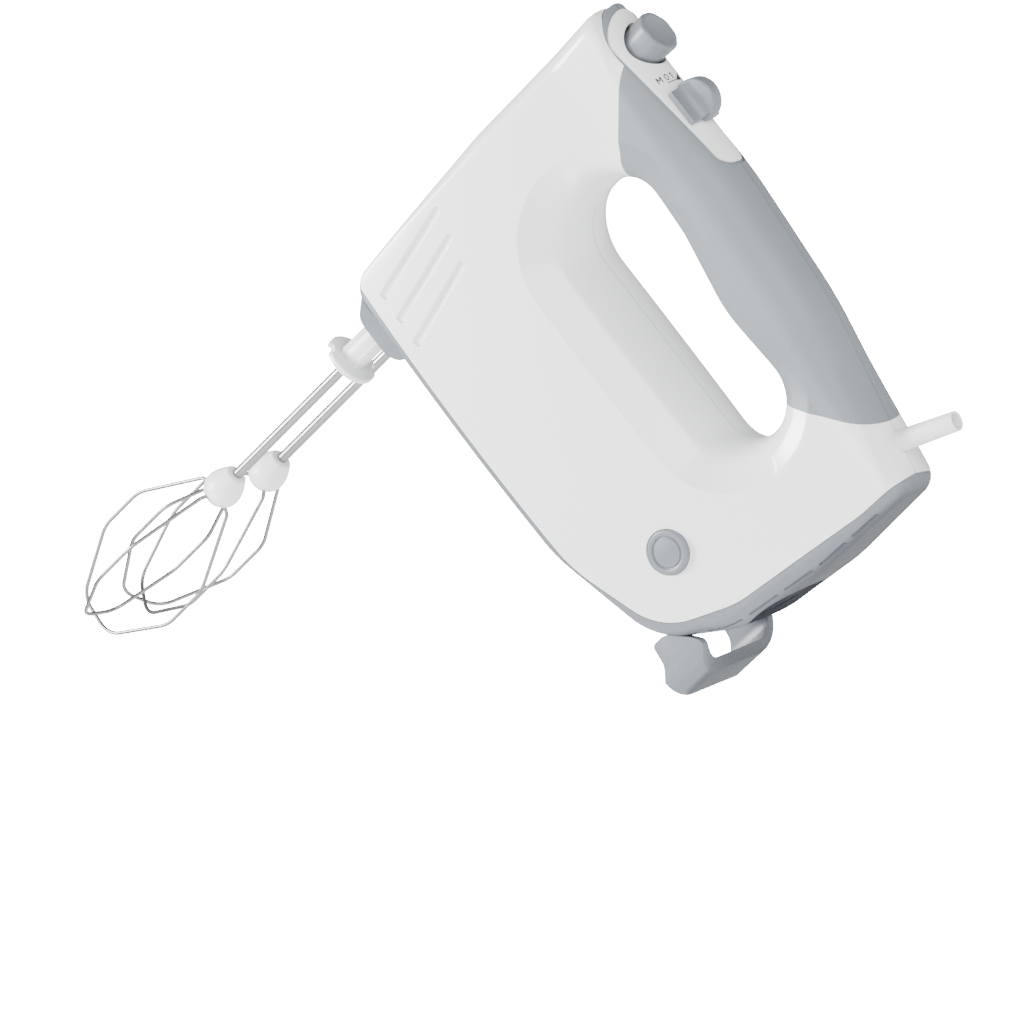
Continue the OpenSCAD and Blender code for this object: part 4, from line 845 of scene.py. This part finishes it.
hub_top, hub_l, tip_z = -93.0, 13.5, -180.0
for side, name in ((-1, "left"), (1, "right")):
    body, y0 = "whisk_" + name, side * whisk_y
    rod = turned("rod_" + name, [(0, 38), (1.3, 38), (1.75, 37.2), (1.9, 36.2), (1.9, -101.5),
                                 (0, -101.5)], 48)
    rod.location = (0, y0, 0)
    stood(rod, body, "whisk_rod_" + name)
    rod.data.materials.append(rod_steel)

    foot = -27.0 if side < 0 else -15.0
    core = turned("collar_" + name, [
        (1.92, foot), (4.5, foot), (4.8, foot + 0.3), (4.8, -8.8), (4.54, -8.4), (4.54, 3.9),
        (3.6, 5.0), (1.92, 5.0), (1.92, foot)], 72)
    core.location = (0, y0, 0)
    for k in range(4):
        turn = math.radians(45 + 90 * k)
        bpy.ops.mesh.primitive_cube_add(size=1, rotation=(0, 0, turn), location=(
            4.0 * math.cos(turn), y0 + 4.0 * math.sin(turn), (foot + 0.5 - 9.0) / 2))
        rib = bpy.context.object
        rib.scale = (2.8, 2.2, -9.0 - foot - 0.5)
        bpy.ops.object.transform_apply(location=False, rotation=False, scale=True)
        soften(rib, 0.35, 3)
        rib.name = "collar_rib_%s_%d" % (name, k + 1)
        stood(rib, body)
        rib.data.materials.append(trim_white)
    stood(core, body, "whisk_collar_" + name)
    core.data.materials.append(trim_white)
    if side < 0:
        flange = turned("collar_flange", [
            (4.6, foot), (9.6, foot), (10.0, foot + 0.4), (10.0, foot + 1.8), (9.6, foot + 2.2),
            (4.6, foot + 2.2), (4.6, foot)], 128)
        cutters = []
        for turn in (math.radians(45), math.radians(225)):
            bpy.ops.mesh.primitive_cube_add(size=4, rotation=(0, 0, turn), location=(
                10.2 * math.cos(turn), 10.2 * math.sin(turn), foot + 1))
            cutters.append(bpy.context.object)
        carve(flange, *cutters)
        flange.location = (0, y0, 0)
        stood(flange, body)
        flange.data.materials.append(trim_white)

    egg = []
    for k in range(33):
        f = k / 32
        r = (3.9 + 3.1 * math.sin(math.pi / 2 * f / 0.62) if f < 0.62
             else 7.0 * math.sqrt(max(1 - ((f - 0.62) / 0.5) ** 2, 0)))
        egg.append((r, hub_top - hub_l * f))
    hub = turned("hub_" + name, [(1.92, hub_top), (3.5, hub_top), (3.8, hub_top - 0.1)]
                 + egg[1:] + [(0, hub_top - hub_l)])
    hub.location = (0, y0, 0)
    stood(hub, body, "whisk_hub_" + name)
    hub.data.materials.append(trim_white)

    first = -8 if side < 0 else 53
    for label, turn, drop in (("outer", first, 0.0), ("inner", first - side * 90, 1.7)):
        exit_z = hub_top - hub_l + 2.2
        half = [(5.2, exit_z - 0.6, 0.1), (8.2, exit_z - 1.6, 2.5), (22, hub_top - 40, 16),
                (22, tip_z + 27, 14), (8.5, tip_z + 2.6 + drop, 9)]
        bent = half + [(-x, z, r) for x, z, r in reversed(half)]
        line = rounded([(x, z, r, 0, 0) for x, z, r in bent], 16)[16:-16]
        wire = bent_wire("loop_%s_%s_wire" % (label, name),
                         [(x, 0, z) for x, z, _, _ in line], 1.4, 5)
        wire.location = (0, y0, 0)
        wire.rotation_euler = (0, 0, math.radians(turn))
        stood(wire, body, "loop_%s_%s" % (label, name), crease=50)
        wire.data.materials.append(wire_steel)

# ---- Springs --------------------------------------------------------------------------
# Two coil springs of drawn wire return the eject button and the release button. Each one
# is hung on the housing and given a mesh of its own; nothing here shortens it as its
# button is pressed.


def coil_spring(name, radius, thick, length, turns):
    """A coil that stands on the z axis, with plain ends."""
    steps = turns * 36
    return bent_wire(name, [
        (radius * math.cos(math.pi * k / 18), radius * math.sin(math.pi * k / 18),
         thick / 2 + (length - thick) * k / steps) for k in range(steps + 1)], thick, 3)


eject_coil = coil_spring("eject_coil", 5.4, 0.9, 25.7, 6)
eject_coil.location = (eject_x, 0, 109.15)
release_coil = coil_spring("release_coil", 3.4, 0.7, 5.9, 4)
release_coil.location = (release_x, -14.6, release_z)
release_coil.rotation_euler = (math.pi / 2, 0, 0)
for coil, node, joint, axis, kept in (
        (eject_coil, "eject_spring", "eject_press", (1, 0, 0), 0.725),
        (release_coil, "release_spring", "release_press", (0, 1, 0), 0.66)):
    stood(coil, "housing", node, crease=60)
    coil.data.materials.append(wire_steel)
    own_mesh(coil)

# ---- Working parts --------------------------------------------------------------------
# The motor, the gears, the switchgear and the fasteners keep their solids as they are.
# Each takes the finish of its real material: steel, copper, nylon or dark plastic.
for node, coat_of in {
    "case_screws": rod_steel, "gear_frame": nylon, "rear_bridge": dark_plastic,
    "motor_bearings": rod_steel, "stator_core": laminations, "field_coils": copper,
    "brush_holders": brass, "carbon_brushes": pressed_carbon, "switch_body": dark_plastic,
    "speed_board": board_green, "knob_pin": rod_steel, "motor_shaft": rod_steel,
    "armature_core": laminations, "armature_windings": copper, "commutator": copper,
    "worm": rod_steel, "cooling_fan": nylon, "rear_drive_dog": dark_plastic,
    "drive_spindle_left": rod_steel, "worm_wheel_left": nylon,
    "drive_spindle_right": rod_steel, "worm_wheel_right": nylon, "ejector_fork": dark_plastic,
    "release_latch": dark_plastic, "port_door_left": dark_plastic,
    "port_door_right": dark_plastic, "door_pins": rod_steel,
}.items():
    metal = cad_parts[node].data.materials
    metal.clear()
    metal.append(coat_of)

# ---- Floor ----------------------------------------------------------------------------
# A plain pale worktop under the heel. Its underside is clear, because the camera looks
# up at the mixer from a little below the worktop's level.
bpy.ops.mesh.primitive_plane_add(size=6, location=(0, 0, 0))
worktop = bpy.context.object
worktop.name = "worktop"
pale = bpy.data.materials.new("worktop")
pale.use_nodes = True
tree = pale.node_tree
shader = tree.nodes["Principled BSDF"]
shader.inputs["Roughness"].default_value = 0.7
shader.inputs["Emission Color"].default_value = (1, 1, 1, 1)
shader.inputs["Emission Strength"].default_value = 0.8
spot = tree.nodes.new("ShaderNodeTexCoord")
drift = tree.nodes.new("ShaderNodeTexNoise")
drift.inputs["Scale"].default_value = 3
tone = tree.nodes.new("ShaderNodeMix")
tone.data_type = "RGBA"
tone.inputs["A"].default_value = (0.86, 0.86, 0.86, 1)
tone.inputs["B"].default_value = (0.82, 0.82, 0.82, 1)
side_seen = tree.nodes.new("ShaderNodeNewGeometry")
clear = tree.nodes.new("ShaderNodeBsdfTransparent")
either = tree.nodes.new("ShaderNodeMixShader")
tree.links.new(spot.outputs["Object"], drift.inputs["Vector"])
tree.links.new(drift.outputs["Fac"], tone.inputs["Factor"])
tree.links.new(tone.outputs["Result"], shader.inputs["Base Color"])
tree.links.new(side_seen.outputs["Backfacing"], either.inputs["Fac"])
tree.links.new(shader.outputs["BSDF"], either.inputs[1])
tree.links.new(clear.outputs["BSDF"], either.inputs[2])
tree.links.new(either.outputs["Shader"], tree.nodes["Material Output"].inputs["Surface"])
worktop.data.materials.append(pale)

# ---- Light ----------------------------------------------------------------------------
# A white studio: an even surround with three large soft lamps, and a bright backdrop
# that only the camera sees.
world = bpy.data.worlds.new("studio")
bpy.context.scene.world = world
world.use_nodes = True
surround = world.node_tree
glow = surround.nodes["Background"]
glow.inputs["Color"].default_value = (1, 1, 1, 1)
glow.inputs["Strength"].default_value = 0.6
backdrop = surround.nodes.new("ShaderNodeBackground")
backdrop.inputs["Color"].default_value = (1, 1, 1, 1)
backdrop.inputs["Strength"].default_value = 24
seen = surround.nodes.new("ShaderNodeLightPath")
pick = surround.nodes.new("ShaderNodeMixShader")
surround.links.new(seen.outputs["Is Camera Ray"], pick.inputs["Fac"])
surround.links.new(glow.outputs["Background"], pick.inputs[1])
surround.links.new(backdrop.outputs["Background"], pick.inputs[2])
surround.links.new(pick.outputs["Shader"], surround.nodes["World Output"].inputs["Surface"])
aim = Vector((-0.0042, -0.0002, 0.0941))
for name, place, size, power in (("key", (-0.45, -0.70, 0.80), 0.4, 36),
                                 ("fill", (0.9, -0.6, 0.25), 0.5, 9),
                                 ("under", (0.1, -0.9, -0.6), 0.9, 7)):
    lamp = bpy.data.lights.new(name, "AREA")
    lamp.size, lamp.energy = size, power
    holder = bpy.data.objects.new(name, lamp)
    holder.location = place
    holder.rotation_euler = (Vector(place) - aim).to_track_quat("Z", "Y").to_euler()
    bpy.context.scene.collection.objects.link(holder)

# ---- Camera ---------------------------------------------------------------------------
# A long lens from the mixer's left and below its heel's level, turned so that the nose
# points up and to the left.
lens = bpy.data.cameras.new("view")
lens.lens, lens.sensor_width, stand_off = 403.2, 36, 4
camera = bpy.data.objects.new("view", lens)
bpy.context.scene.collection.objects.link(camera)
right = Vector((0.6078, 0.5253, -0.5954))
up = Vector((0.5942, 0.1965, 0.7799))
back = right.cross(up).normalized()
up = back.cross(right).normalized()
right.normalize()
eye = aim + back * stand_off
camera.matrix_world = Matrix(((right.x, up.x, back.x, eye.x), (right.y, up.y, back.y, eye.y),
                              (right.z, up.z, back.z, eye.z), (0, 0, 0, 1)))
bpy.context.scene.camera = camera
